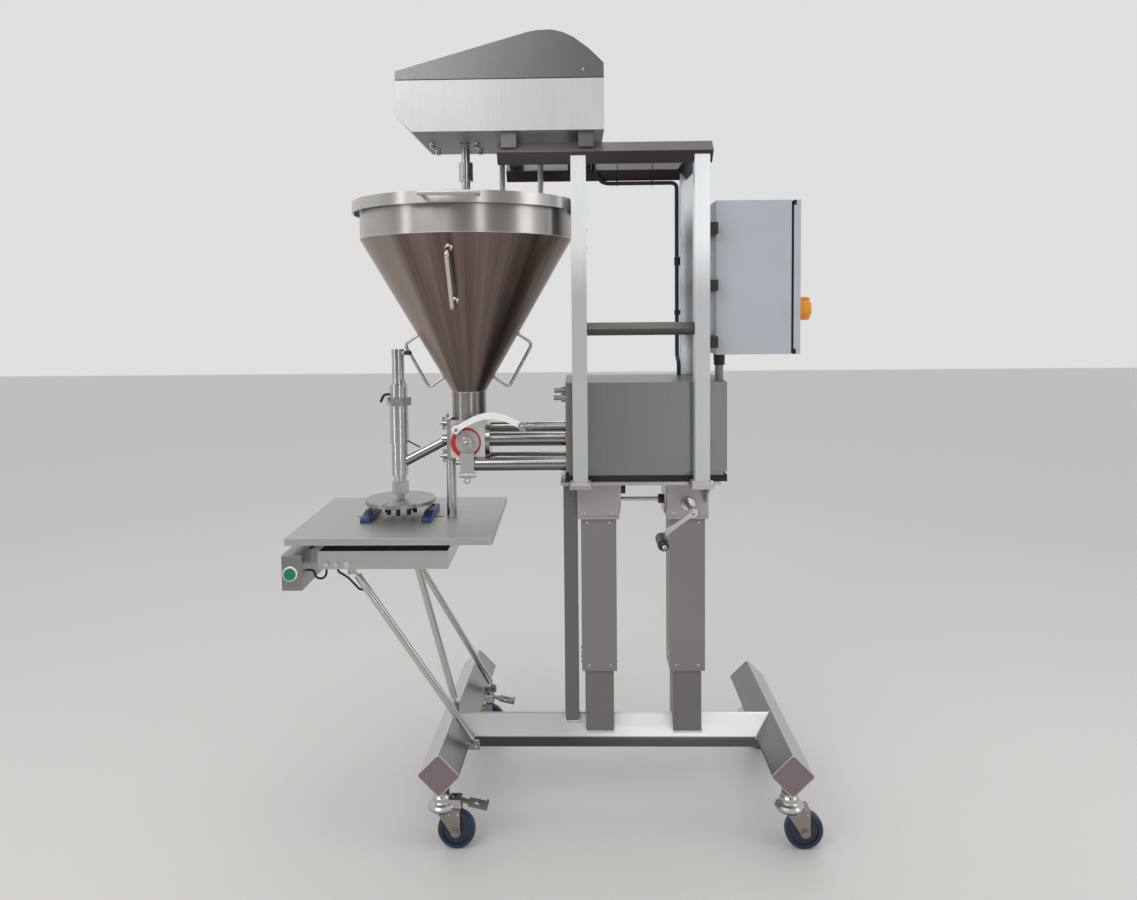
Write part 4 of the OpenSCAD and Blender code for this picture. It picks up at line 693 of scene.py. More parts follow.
class DEPOSITOR_OT_brushed_steel(bpy.types.Operator):
    """Brushes the sheet and tube of stand, frame, table and housing."""

    bl_idname = "depositor.brushed_steel"
    bl_label = "Brushed steel"

    def execute(self, context):
        look = context.scene.depositor_finish
        touches = {
            "cross_beam": self.cross_beam, "top_frame": self.top_frame, "front_uprights": self.front_uprights,
            "left_leg": self.left_leg, "right_leg": self.right_leg, "table_top": self.table_top,
            "table_frame": self.table_frame, "button_box": self.button_box,
            "carriage_frame": self.carriage_frame, "valve_block": self.valve_block,
        }
        for along, nodes in BRUSHED_NODES.items():
            for node in nodes:
                tone = toned(look.steel, PAINTED_LIGHT_SHARES.get(node, 1.0))
                # Painted reflection: the uprights get a blue tint.
                if node.endswith("uprights"):
                    tone = tuple(min(1.0, c * k) for c, k in zip(tone, UPRIGHT_REFLECTION_TINT))
                rough = look.steel_gloss + (TABLE_DULL if node == "table_top" else 0.0)
                f = steel_finish(node + "_steel", tone, rough, along)
                if node in touches:
                    touches[node](f)
                wear(node, f)
        # Painted shade: the housing's steel is painted darker.
        wear("housing", steel_finish("housing_steel", toned(look.steel, 0.56), look.steel_gloss + 0.05, Z, grain=0.7))
        wear("hood", self.hood(look))
        return {"FINISHED"}

    def cross_beam(self, f):
        """Dull, with painted shade on its left and below."""
        f.give(Specular_Tint=DULL_SHEEN, Metallic=0.6)
        shaded(f, f.short_of(X, 90.0, 160.0), 0.5)
        shaded(f, f.short_of(Z, BEAM_Z + 4.0, FOLD_SOFT), 0.18)

    def top_frame(self, f):
        """Dull, with painted shade on its right and brown painted shade below."""
        f.give(Specular_Tint=DULL_SHEEN, Metallic=0.45)
        shaded(f, f.beyond(X, 40.0, 170.0), 0.42)
        shaded(f, f.short_of(Z, 1830.0, FOLD_SOFT), 0.2, (0.047, 0.031, 0.029))

    def front_uprights(self, f):
        """Painted bright, with painted shade towards the foot and on the bar between the posts."""
        f.give(Metallic=0.3)
        shaded(f, f.short_of(Z, 1530.0, 100.0), 0.56)
        # Painted shade: the bar between the posts is painted dark brown.
        bar = f.between(X, UPRIGHT_X[0] + 20.2, UPRIGHT_X[1] - 20.2) * f.beyond(Z, 1200.0)
        painted_over(f, bar, (0.145, 0.135, 0.125), 0.4, 1.0)

    def left_leg(self, f):
        """The askew leg, whose right side faces the beam."""
        self.leg(f, LEFT_LEG_X, LEFT_LEG_TURN, True, 0.5)

    def right_leg(self, f):
        """The straight leg, whose left side faces the beam."""
        self.leg(f, RIGHT_LEG_X, 0.0, False, 0.42)

    def leg(self, f, start_x, turn, beam_on_right, inner_share):
        """Painted shade below and towards the beam, with a painted cap in front."""
        start = at(start_x, 0, 0)
        away_x, away_y = f.x - start.x, f.y - start.y
        run = away_x * math.sin(turn) + away_y * math.cos(turn)
        across = away_x * math.cos(turn) - away_y * math.sin(turn)
        tube = f.past(run, (LEG_FRONT_Y + 0.6) / 1000.0)
        above = f.beyond(Z, LEG_Z, FOLD_SOFT)
        shaded(f, (1.0 - above) * tube, 0.4)
        inner = f.past(across, 0.0, FOLD_SOFT / 1000.0)
        inner = inner if beam_on_right else 1.0 - inner
        shaded(f, inner * above * tube, inner_share)
        painted_over(f, 1.0 - tube, CAP_BROWN, 0.5, 0.6)

    def table_top(self, f):
        """A little less of a mirror."""
        f.give(Metallic=0.8)

    def table_frame(self, f):
        """Bright studs on the front."""
        painted_over(f, f.short_of(Y, -200.6), (0.72, 0.71, 0.70), 0.2, 1.0)

    def button_box(self, f):
        """White ring round the push button."""
        ring = f.around((-742, -235, 743), BACK, 19.3)
        painted_over(f, ring * f.short_of(Y, -235.6), RING_WHITE, 0.35)

    def carriage_frame(self, f):
        """Black bearing beside the first column, and painted shade on the plinth under the housing."""
        bearing = f.around((0, -18, 914), RIGHT, 13.4) * f.between(X, 124.4, 145.0)
        painted_over(f, bearing, COLLAR_BLACK, 0.42)
        # Painted shade: the plinth, set back under the housing, is painted black.
        painted_over(f, f.beyond(Z, 950.3), SEAL_AND_SHADE_BLACK, 0.6)

    def valve_block(self, f):
        """A little less of a mirror."""
        f.give(Metallic=0.65)

    def hood(self, look):
        """Painted bright sides, a darker cover whose painted light fades to the right, a painted shadow line at the
        seam and painted shade on the floor.
        """
        f = steel_finish("hood_steel", toned(look.steel, 1.42), look.steel_gloss + 0.12, Z, grain=0.8)
        f.give(Metallic=0.7)
        fade = f.ramp(f.x, at(-440, 0, 0).x, at(20, 0, 0).x, "LINEAR")
        light = f.blend(f.shade, toned(look.cover, 1.10), toned(look.cover, 1.42))
        dark = f.blend(f.shade, toned(look.cover, 0.58), toned(look.cover, 0.76))
        f.give(Base_Color=f.blend(f.beyond(Z, COVER_Z, 0.4), f.colour(), f.blend(fade, light, dark)))
        shaded(f, f.between(Z, COVER_Z - 1.5, COVER_Z + 0.3, 0.3), 0.12)
        return shaded(f, f.short_of(Z, HOOD_FLOOR_Z + 0.6, 0.4), 0.4)


class DEPOSITOR_OT_broken_edges(bpy.types.Operator):
    """Breaks the sharp edges of sheet and tube, so that they catch the light."""

    bl_idname = "depositor.broken_edges"
    bl_label = "Broken edges"

    def execute(self, context):
        for node in EDGED_NODES:
            weld = NODES[node].modifiers.new("join", "WELD")
            weld.merge_threshold = WELD_REACH
            edge = NODES[node].modifiers.new("edge", "BEVEL")
            edge.width = context.scene.depositor_fastener.edge
            edge.segments = 2
            edge.limit_method = "ANGLE"
            edge.angle_limit = EDGE_ANGLE
            edge.use_clamp_overlap = True
            edge.harden_normals = True
        return {"FINISHED"}


# Colours of the cone's painted reflection streaks, and the angles from the right, in radians, of its parts with
# painted light and painted shade.
REFLECTED_DARK, REFLECTED_LIGHT = (0.095, 0.066, 0.053), (0.22, 0.165, 0.138)
CONE_LIT_SIDE = (0.40, 0.335, 0.285)
LEFT_ANGLE, DARK_ANGLES, BAND_ANGLE = 2.14, (0.74, 0.98), 0.60


class DEPOSITOR_OT_turned_steel(bpy.types.Operator):
    """Turns the hopper, its lid halves and the spreader disc."""

    bl_idname = "depositor.turned_steel"
    bl_label = "Turned steel"

    def execute(self, context):
        look = context.scene.depositor_finish
        for node in ("hopper", "front_lid", "rear_lid"):
            tone = look.hopper if node == "hopper" else toned(look.hopper, 1.2)
            f = steel_finish(node + "_turned", tone, 0.33, turned=at(HOPPER_X, 0, 0), grain=0.8)
            f.give(Anisotropic=0.75, Anisotropic_Rotation=0.25)
            if node == "hopper":
                self.streaks(f)
            wear(node, f)
        disc = steel_finish("spreader_turned", toned(look.steel, 0.8), 0.34, turned=at(NOZZLE_X, 0, 0))
        tips = disc.short_of(Z, 866.2) * disc.past(disc.reach(at(NOZZLE_X, 0, 0), UP), 0.030)
        wear("spreader_disc", painted_over(disc, tips, TIP_BLACK, 0.5))
        return {"FINISHED"}

    def streaks(self, f):
        """Painted brown reflection streaks down the cone, painted light on its left, a painted dark reflection stripe
        on the right, and painted shade at the band's end and on the neck.
        """
        axis = at(HOPPER_X, 0, 0)
        angle = f.sum_of("ARCTAN2", f.y - axis.y, f.x - axis.x)
        turn = f.maths("ABSOLUTE", angle)
        unrolled = f.node("ShaderNodeCombineXYZ", None, {X: angle, Y: f.z, Z: 0.0})
        streak = f.noise((5.5, 0.9, 1.0), 3.0, unrolled)
        fine = f.noise((34.0, 1.6, 1.0), 2.0, unrolled)
        brown = f.blend(f.past(0.7 * streak + 0.3 * fine, 0.5, 0.22), REFLECTED_DARK, REFLECTED_LIGHT)
        brown = f.blend(0.8 * f.past(turn, LEFT_ANGLE, 0.10), brown, CONE_LIT_SIDE)
        band, neck = f.beyond(Z, BAND_Z - 0.2), f.short_of(Z, NECK_Z + 0.5)
        cone = (1.0 - band) * (1.0 - neck)
        f.give(Base_Color=f.blend(cone * 0.96, f.colour(), brown))
        low, high = (f.past(turn, angle_edge, 0.06) for angle_edge in DARK_ANGLES)
        shaded(f, cone * low * (1.0 - high), 0.55)
        shaded(f, (1.0 - f.past(turn, BAND_ANGLE, 0.08)) * band, 0.5)
        shaded(f, neck, 0.72)


class DEPOSITOR_OT_polished_steel(bpy.types.Operator):
    """Polishes pipes, rods, struts and the filling nozzle."""

    bl_idname = "depositor.polished_steel"
    bl_label = "Polished steel"

    def execute(self, context):
        look = context.scene.depositor_finish
        for node in POLISHED_NODES:
            lo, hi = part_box(node)
            along = max((X, Y, Z), key=lambda k: (hi - lo)[k])
            tone = toned(look.polish, PAINTED_LIGHT_SHARES.get(node, 1.0))
            gloss = look.polish_gloss * (0.6 if node.startswith("strut") else 1.0)
            f = steel_finish(node + "_polish", tone, gloss, along, grain=0.35)
            # Painted shade and reflection on the lower faces of the bars.
            wear(node, undershade(f, 0.25) if node in BARS else f)
        wear("nozzle_body", self.nozzle(look))
        shaft = steel_finish("cross_shaft_polish", look.polish, look.polish_gloss, X, grain=0.35)
        collar = shaft.past(shaft.reach(at(0, 0, SHAFT_Z), RIGHT), 0.0066) * shaft.beyond(X, 225.0)
        wear("cross_shaft", painted_over(shaft, collar, COLLAR_BLACK, 0.42))
        keeper = steel_finish("keeper_steel", toned(look.steel, 1.1), look.steel_gloss, Z, grain=0.6)
        keeper.give(Metallic=0.7)
        disc = keeper.beyond(Y, -52.4) * keeper.beyond(Z, 1008.5, 0.4)
        wear("keeper_plate", painted_over(keeper, disc, look.sign, 0.4))
        return {"FINISHED"}

    def nozzle(self, look):
        """Polished tube with black elbow, stub, hose and pin."""
        f = steel_finish("nozzle_polish", look.polish, look.polish_gloss, Z, grain=0.35)
        elbow = f.short_of(X, -537.0)
        stub = f.short_of(X, -525.2) * f.beyond(Z, 1178.2)
        hose = f.beyond(X, -473.4) * f.between(Z, 1026.0, 1062.0)
        pin = f.beyond(X, -479.0) * f.between(Z, 1294.0, 1309.5)
        return painted_over(f, f.either(elbow, stub, hose, pin), HOSE_BLACK, 0.4)


class DEPOSITOR_OT_painted_parts(bpy.types.Operator):
    """Paints the lift columns and the control cabinet."""

    bl_idname = "depositor.painted_parts"
    bl_label = "Painted parts"

    def execute(self, context):
        look = context.scene.depositor_finish
        # Painted shade: the lower columns are painted darker than the sleeves.
        lower = plain_finish("lower_columns_satin", toned(look.column, 0.78), 0.42, 900.0, 0.05, 0.35)
        wear("lower_columns", lower)
        outer = plain_finish("outer_columns_satin", look.column, 0.42, 900.0, 0.05, 0.35)
        # Painted light: the heads are painted lighter than the sleeves.
        painted_over(outer, outer.beyond(Z, 838.2), toned(look.column, 1.75), 0.4, 0.45)
        hub = outer.around((COLUMN_X[1], 0, SHAFT_Z), BACK, 18.5) * outer.short_of(Y, -50.0)
        wear("outer_columns", painted_over(outer, hub, NYLON_BLACK, 0.45))
        case = plain_finish("cabinet_paint", look.cabinet, 0.38, 620.0, 0.10)
        painted_over(case, case.beyond(X, 577.8), SEAL_AND_SHADE_BLACK, 0.55)
        # Painted shade: the cabinet's inside is painted dark.
        inside = case.beyond(X, 389.4) * case.between(Y, -94.8, 184.8) * case.between(Z, 1305.4, 1694.6)
        wear("cabinet", painted_over(case, inside, (0.10, 0.105, 0.11), 0.45))
        door = plain_finish("cabinet_door_paint", look.cabinet, 0.38, 620.0, 0.10)
        lo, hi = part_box("cabinet_door")
        middle = door.past(door.z, lo[Z] + 0.014) * (1.0 - door.past(door.z, hi[Z] - 0.014))
        # Painted shade: the door's edge next to the slit is painted black at its top and bottom corners.
        corners = (1.0 - middle) * (1.0 - door.past(door.x, lo[X] + 0.007))
        wear("cabinet_door", painted_over(door, corners, SEAL_AND_SHADE_BLACK, 0.55))
        return {"FINISHED"}


class DEPOSITOR_OT_casters(bpy.types.Operator):
    """Plates the caster forks and pedals and colours the wheels."""

    bl_idname = "depositor.casters"
    bl_label = "Casters"

    def execute(self, context):
        look = context.scene.depositor_finish
        for corner, (left, y) in CASTERS.items():
            zinc = steel_finish("caster_zinc_" + corner, (0.52, 0.515, 0.50), 0.22, Z, grain=0.4)
            # Painted shade and brownish painted reflection on the lower part of each fork.
            shaded(zinc, zinc.short_of(Z, 112.0), 0.42, (0.16, 0.125, 0.11))
            wear("caster_fork_" + corner, zinc)
            place, axis = on_right_leg, BACK
            if left:
                place, axis = on_left_leg, (math.sin(LEFT_LEG_TURN), math.cos(LEFT_LEG_TURN), 0.0)
                pedal = steel_finish("pedal_zinc_" + corner, (0.22, 0.22, 0.22), 0.3, X, grain=0.5)
                wear("brake_pedal_" + corner, pedal)
            f = plain_finish("caster_tyre_" + corner, look.tyre, 0.42, 420.0, 0.12)
            radius = f.reach(place(WHEEL_X, y, WHEEL_Z), axis)
            painted_over(f, 1.0 - f.past(radius, 0.0362), (0.020, 0.026, 0.036), 0.45)
            painted_over(f, 1.0 - f.past(radius, 0.0135), (0.30, 0.30, 0.31), 0.35, 0.6)
            wear("caster_wheel_" + corner, f)
        return {"FINISHED"}


class DEPOSITOR_OT_small_parts(bpy.types.Operator):
    """Colours the jaws, link, button, switch, grip, cabinet fittings and cables."""

    bl_idname = "depositor.small_parts"
    bl_label = "Small coloured parts"

    def execute(self, context):
        look = context.scene.depositor_finish
        for node, finish, tone, rough, peel, depth in (
            ("jaw_left", "jaw_left_plastic", look.jaw, 0.36, 260.0, 0.16),
            ("jaw_right", "jaw_right_plastic", look.jaw, 0.36, 260.0, 0.16),
            ("green_button", "button_plastic", look.button, 0.26, 300.0, 0.04),
            ("main_switch", "switch_plastic", look.knob, 0.3, 300.0, 0.05),
            ("crank_grip", "grip_plastic", SEAL_AND_SHADE_BLACK, 0.3, 500.0, 0.1),
            ("motor_cable", "motor_cable_rubber", RUBBER_BLACK, 0.5, 400.0, 0.1),
            ("table_cables", "table_cables_rubber", RUBBER_BLACK, 0.5, 400.0, 0.1),
        ):
            wear(node, plain_finish(finish, tone, rough, peel, depth))
        link = plain_finish("link_plastic", look.link, 0.3, 500.0, 0.05)
        eye = link.around((ACTUATOR_X, 0, ACTUATOR_Z), BACK, 13.1)
        wear("curved_link", painted_over(link, eye, look.polish, 0.22, 1.0))
        fitting = plain_finish("fitting_plastic", RUBBER_BLACK, 0.45, 500.0, 0.1)
        pipe = fitting.around((394, -60, 0), UP, 12.5) * fitting.short_of(Z, 1265.5)
        wear("cabinet_fittings", painted_over(fitting, pipe, (0.22, 0.22, 0.23), 0.5))
        return {"FINISHED"}


class DEPOSITOR_OT_leads(bpy.types.Operator):
    """Lays the motor lead and the two push button leads, with their ties and clips."""

    bl_idname = "depositor.leads"
    bl_label = "Leads"

    def execute(self, context):
        size = context.scene.depositor_fastener
        rubber = plain_finish("lead_rubber", RUBBER_BLACK, 0.48, 380.0, 0.14)
        nylon = plain_finish("tie_nylon", NYLON_BLACK, 0.4, 500.0, 0.08)
        motor = [rounded(MOTOR_ROUTE, *MOTOR_CORNERS)]
        piece = on_lines("motor_lead", motor, False, "round_lead", [size.motor_lead], rubber, "lift")
        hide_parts("motor_cable")
        leads = [rounded(BOX_ROUTE, *BOX_CORNERS), rounded(STRUT_ROUTE, *STRUT_CORNERS)]
        piece = on_lines("button_leads", leads, False, "round_lead", [size.button_lead], rubber, "base")
        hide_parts("table_cables")
        loops = [[at(x, y, z) for y, z in TIE_OUTLINE] for x in TIE_X]
        on_lines("lead_ties", loops, True, "round_lead", [TIE_RADIUS], nylon, "lift")
        seated(self.clips(nylon), "lift")
        return {"FINISHED"}

    def arc(self, radius, degrees):
        """Points round the lead."""
        turns = [math.radians(d) for d in degrees]
        return [(LEAD_X + radius * math.cos(a), LEAD_Y + radius * math.sin(a)) for a in turns]

    def clips(self, finish):
        """Saddle clips that hold the lead on the rear right upright."""
        bm = bmesh.new()
        outline = [(CLIP_SEAT_X, 203), (CLIP_WING_X, 203), (CLIP_WING_X, 193.5)]
        outline += self.arc(CLIP_OUTER, range(60, 301, 20))
        outline += [(CLIP_WING_X, 174.5), (CLIP_WING_X, 165.5), (CLIP_SEAT_X, 165.5), (CLIP_SEAT_X, 176.2)]
        outline += self.arc(CLIP_INNER, range(300, 59, -20)) + [(CLIP_SEAT_X, 191.8)]
        count = len(outline)
        for heights in CLIP_HEIGHTS:
            low, high = ([bm.verts.new(at(x, y, z)) for x, y in outline] for z in heights)
            for k in range(count):
                after = (k + 1) % count
                bm.faces.new((low[k], low[after], high[after], high[k]))
            bm.faces.new(list(reversed(low)))
            bm.faces.new(high)
        bmesh.ops.recalc_face_normals(bm, faces=bm.faces)
        mesh = bpy.data.meshes.new("lead_clip")
        bm.to_mesh(mesh)
        bm.free()
        mesh.materials.append(finish.material)
        return linked("lead_clip", mesh)


class DEPOSITOR_OT_handles(bpy.types.Operator):
    """Bends the three round handles of the hopper."""

    bl_idname = "depositor.handles"
    bl_label = "Hopper handles"

    def execute(self, context):
        look = context.scene.depositor_finish
        steel = steel_finish("handle_polish", look.polish, look.polish_gloss, Z, grain=0.35)
        lean, drop = BAND_Z - NECK_Z, NECK_RADIUS - BAND_RADIUS
        loops, loop_feet = [], []
        for side in (-1.0, 1.0):
            flat = self.bow(1352, 1232, (40, 1325), (42, 1202))
            loops.append(rounded([(HOPPER_X + side * r, 0, z) for r, z in flat], 14, 8))
            loop_feet += [
                (at(HOPPER_X + side * cone_radius(z), 0, z), (side * lean, 0.0, drop)) for z in (1352, 1232)]
        sides = on_lines("hopper_side_loops", loops, False, "round_lead", [0.0045], steel, "lift")
        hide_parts("hopper_handles")
        c, s = math.cos(HANDLE_TURN), math.sin(HANDLE_TURN)
        flat = self.bow(1577, 1446, (34, 1562), (38, 1420))
        bar = [rounded([(HOPPER_X + r * s, -r * c, z) for r, z in flat], 16, 8)]
        on_lines("hopper_front_handle", bar, False, "round_lead", [0.006], steel, "lift")
        feet = [
            (at(HOPPER_X + cone_radius(z) * s, -cone_radius(z) * c, z), (lean * s, -lean * c, drop))
            for z in (1577, 1446)]
        on_spots("front_handle_feet", feet, "button_heads", (0.0105, 0.00525), steel, "lift")
        on_spots("side_loop_feet", loop_feet, "button_heads", (0.0068, 0.0034), steel, "lift")
        return {"FINISHED"}

    def bow(self, high, low, upper, lower):
        """Radius and height of a handle's corners, from its upper foot on the cone to its lower one."""
        return [
            (cone_radius(high) - 2, high + 1), (cone_radius(high) + upper[0], upper[1]),
            (cone_radius(low) + lower[0], lower[1]), (cone_radius(low) - 2, low + 1)]


class DEPOSITOR_OT_fasteners(bpy.types.Operator):
    """Sets the screws and bolts of columns, heads, hood, foot plates, valve and casters."""

    bl_idname = "depositor.fasteners"
    bl_label = "Fasteners"

    def execute(self, context):
        size = context.scene.depositor_fastener
        self.bright = steel_finish("screw_zinc", (0.66, 0.66, 0.655), 0.22, Z, grain=0.3)
        self.dark = plain_finish("screw_socket_shade", SOCKET_SHADE, 0.7)
        big, small = [], []
        for x in COLUMN_X:
            for s, face, flank in ((-1, FRONT, LEFT), (1, BACK, RIGHT)):
                for side in (-1, 1):
                    big.append((at(x + side * 30.0, s * OUTER_HALF, 419.5), face))
                    small.append((at(x + side * 30.9, s * OUTER_HALF, 825), face))
                    small.append((at(x + side * 36.9, s * HEAD_HALF, 853), face))
                small += [(at(x + s * OUTER_HALF, y, z), flank) for z in (420, 446) for y in (-18, 18)]
        bolts = [
            (at(x + dx, y, FOOT_PLATE_Z), UP) for x in UPRIGHT_X for dx in (-23.5, 23.5) for y in (-149, 208.5)]
        for y, way in ((-165, FRONT), (165, BACK)):
            small += [(at(-413, y, 2026), way), (at(26.6, y, 2036), way)]
        small += [(at(UPRIGHT_X[0] + 20, -125, z), RIGHT) for z in (1679, 1629, 1582)]
        hangers = [(at(x, y, HOOD_FLOOR_Z), DOWN) for x in (-391, -268) for y in (-2, 96)]
        self.screws("column", big, (size.screw_radius, size.screw_height), "lift")
        self.screws("frame", small, (size.small_radius, size.screw_height * 0.8), "lift")
        on_spots("frame_bolts", bolts, "hexagon_bolts", (size.bolt_radius, 0.0052), self.bright, "lift")
        on_spots("hood_bolts", hangers, "hexagon_bolts", (size.bolt_radius * 1.5, 0.013), self.bright, "lift")
        for name, radius, y in (("valve_washer", 0.0165, -72), ("valve_collar", 0.0118, -74.2)):
            spots = [(at(HOPPER_X, y, ROTOR_Z), FRONT)]
            on_spots(name, spots, "flat_discs", (radius, 0.0024), self.bright, "rotor")
        self.screws("valve", [(at(HOPPER_X, -76.4, ROTOR_Z), FRONT)], (0.0068, 0.0045), "rotor")
        ends = [(at(-328.5, -82, 1093), FRONT), (at(ACTUATOR_X, -78, ACTUATOR_Z), FRONT)]
        self.screws("link", ends, (0.0058, 0.004), "actuator")
        dx, dz = -CRANK_LENGTH * math.sin(CRANK_TURN), -CRANK_LENGTH * math.cos(CRANK_TURN)
        hub_x = COLUMN_X[1]
        caps = [(at(hub_x, CRANK_Y - 16, SHAFT_Z), FRONT), (at(hub_x + dx, CRANK_Y - 106, SHAFT_Z + dz), FRONT)]
        self.screws("crank", caps, (0.0062, 0.004), "crank")
        for corner, (left, y) in CASTERS.items():
            place, turn = (on_left_leg, LEFT_LEG_TURN) if left else (on_right_leg, 0.0)
            spots = [
                (place(x, y + s * 22, 97), (s * math.sin(turn), s * math.cos(turn), 0.0))
                for s in (-1, 1) for x in (20, 44)]
            self.screws("caster_" + corner, spots, (0.0034, 0.002), "swivel_" + corner, "caster_steel")
        return {"FINISHED"}

    def screws(self, name, spots, sizes, body, slot="stainless"):
        """Button head screws with their sockets, on one body."""
        on_spots(name + "_screws", spots, "button_heads", sizes, self.bright, body)
        on_spots(name + "_sockets", spots, "screw_sockets", sizes, self.dark, body)


class DEPOSITOR_OT_weld_beads(bpy.types.Operator):
    """Lays the weld beads of column feet, leg ends, beam ends and hopper."""

    bl_idname = "depositor.weld_beads"
    bl_label = "Weld beads"

    def execute(self, context):
        size = context.scene.depositor_fastener
        pitch = size.bead_pitch
        bright = steel_finish("bead_steel", (0.70, 0.69, 0.675), 0.3, X, grain=0.4)
        feet = [self.foot(x, LOWER_HALF) for x in COLUMN_X] + [self.foot(GUIDE_X, GUIDE_HALF)]
        outline = self.tube_outline(LEG_WIDTH, LEG_ROUNDING)
        ends = []
        for place, back in ((on_left_leg, LEFT_LEG_BACK_Y), (on_right_leg, RIGHT_LEG_BACK_Y)):
            for y in (LEG_FRONT_Y + 0.8, back - 0.8):
                ends.append([place(x, y, LEG_Z + z) for x, z in outline])
        joints = [
            self.saddle(LEFT_LEG_X, 1.0, math.tan(LEFT_LEG_TURN)), self.saddle(RIGHT_LEG_X, -1.0, 0.0)]
        rings = []
        turns = [math.radians(3.75 * k) for k in range(96)]
        for radius, z in ((BAND_RADIUS + 0.2, BAND_Z), (NECK_RADIUS + 0.2, NECK_Z)):
            rings.append([at(HOPPER_X + radius * math.cos(a), radius * math.sin(a), z) for a in turns])
        for name, lines, sizes, body in (
            ("column_foot_welds", feet, (size.bead_radius * 1.4, pitch * 1.3), "base"),
            ("leg_end_welds", ends, (0.0013, pitch), "base"),
            ("beam_end_welds", joints, (0.0017, pitch), "base"),
            ("hopper_seams", rings, (0.0009, 0.006), "lift"),
        ):
            on_lines(name, lines, True, "weld_bead", sizes, bright, body)
        return {"FINISHED"}

    def foot(self, x, half):
        """Line where a square post stands on the edge-set beam."""
        def on_beam(y):
            return BEAM_Z + BEAM_HALF - max(abs(y), BEAM_EDGE_FLAT)
        side = [half - 2.0 * half * k / 12 for k in range(13)]
        line = [at(x + half, -y, on_beam(y)) for y in side]
        return line + [at(x - half, y, on_beam(y)) for y in side]

    def tube_outline(self, width, radius):
        """Outline of a square tube on edge with rounded edges."""
        flat = width / 2.0 - radius
        out = []
        for corner in range(4):
            sx, sz = ((1, 1), (-1, 1), (-1, -1), (1, -1))[corner]
            for k in range(5):
                a = math.radians(90.0 * (corner + k / 4.0))
                x, z = sx * flat + radius * math.cos(a), sz * flat + radius * math.sin(a)
                c = math.sqrt(0.5)
                out.append((c * (x - z), c * (x + z)))
        return out

    def saddle(self, leg_x, side, skew):
        """Line where the beam's end meets the leg."""
        corners = [(0.0, BEAM_Z + BEAM_HALF), (-BEAM_HALF, BEAM_Z), (0.0, BEAM_Z - BEAM_HALF), (BEAM_HALF, BEAM_Z)]
        line = []
        for k in range(4):
            (y0, z0), (y1, z1) = corners[k], corners[(k + 1) % 4]
            for i in range(8):
                y, z = y0 + (y1 - y0) * i / 8.0, z0 + (z1 - z0) * i / 8.0
                reach = LEG_HALF - abs(z - LEG_Z)
                line.append(at(leg_x + skew * y + side * reach, y, z))
        return line


class DEPOSITOR_OT_threads(bpy.types.Operator):
    """Cuts the thread of the valve rod end and the rings of the air fittings."""

    bl_idname = "depositor.threads"
    bl_label = "Threads and rings"

    def execute(self, context):
        bright = steel_finish("thread_steel", (0.58, 0.575, 0.565), 0.24, X, grain=0.3)
        pitch = context.scene.depositor_fastener.thread_pitch * 1000.0
        spots = [(at(-113 + pitch * k, -74, ACTUATOR_Z), RIGHT) for k in range(9)]
        on_spots("rod_end_thread", spots, "thin_rings", (0.0070, 0.0006), bright, "actuator")
        spots = [(at(-29.5 - 2.6 * k, y, z), RIGHT) for y, z in ((-70, 1178), (-30, 1194)) for k in range(4)]
        on_spots("air_fitting_rings", spots, "thin_rings", (0.0110, 0.0009), bright, "lift")
        return {"FINISHED"}


# The camera: film width, picture width and shift in pixels, place in the drawing, and yaw, pitch and roll.
SENSOR_WIDTH = 36.0
PHOTO_WIDTH = 1137.0
PHOTO_SHIFT = (11.0, -98.0)
CAMERA_PLACE = (0, -2385, 1428)
CAMERA_TURNS = (-1.183, 3.07, -0.54)
FLOOR_HALF = 16.0


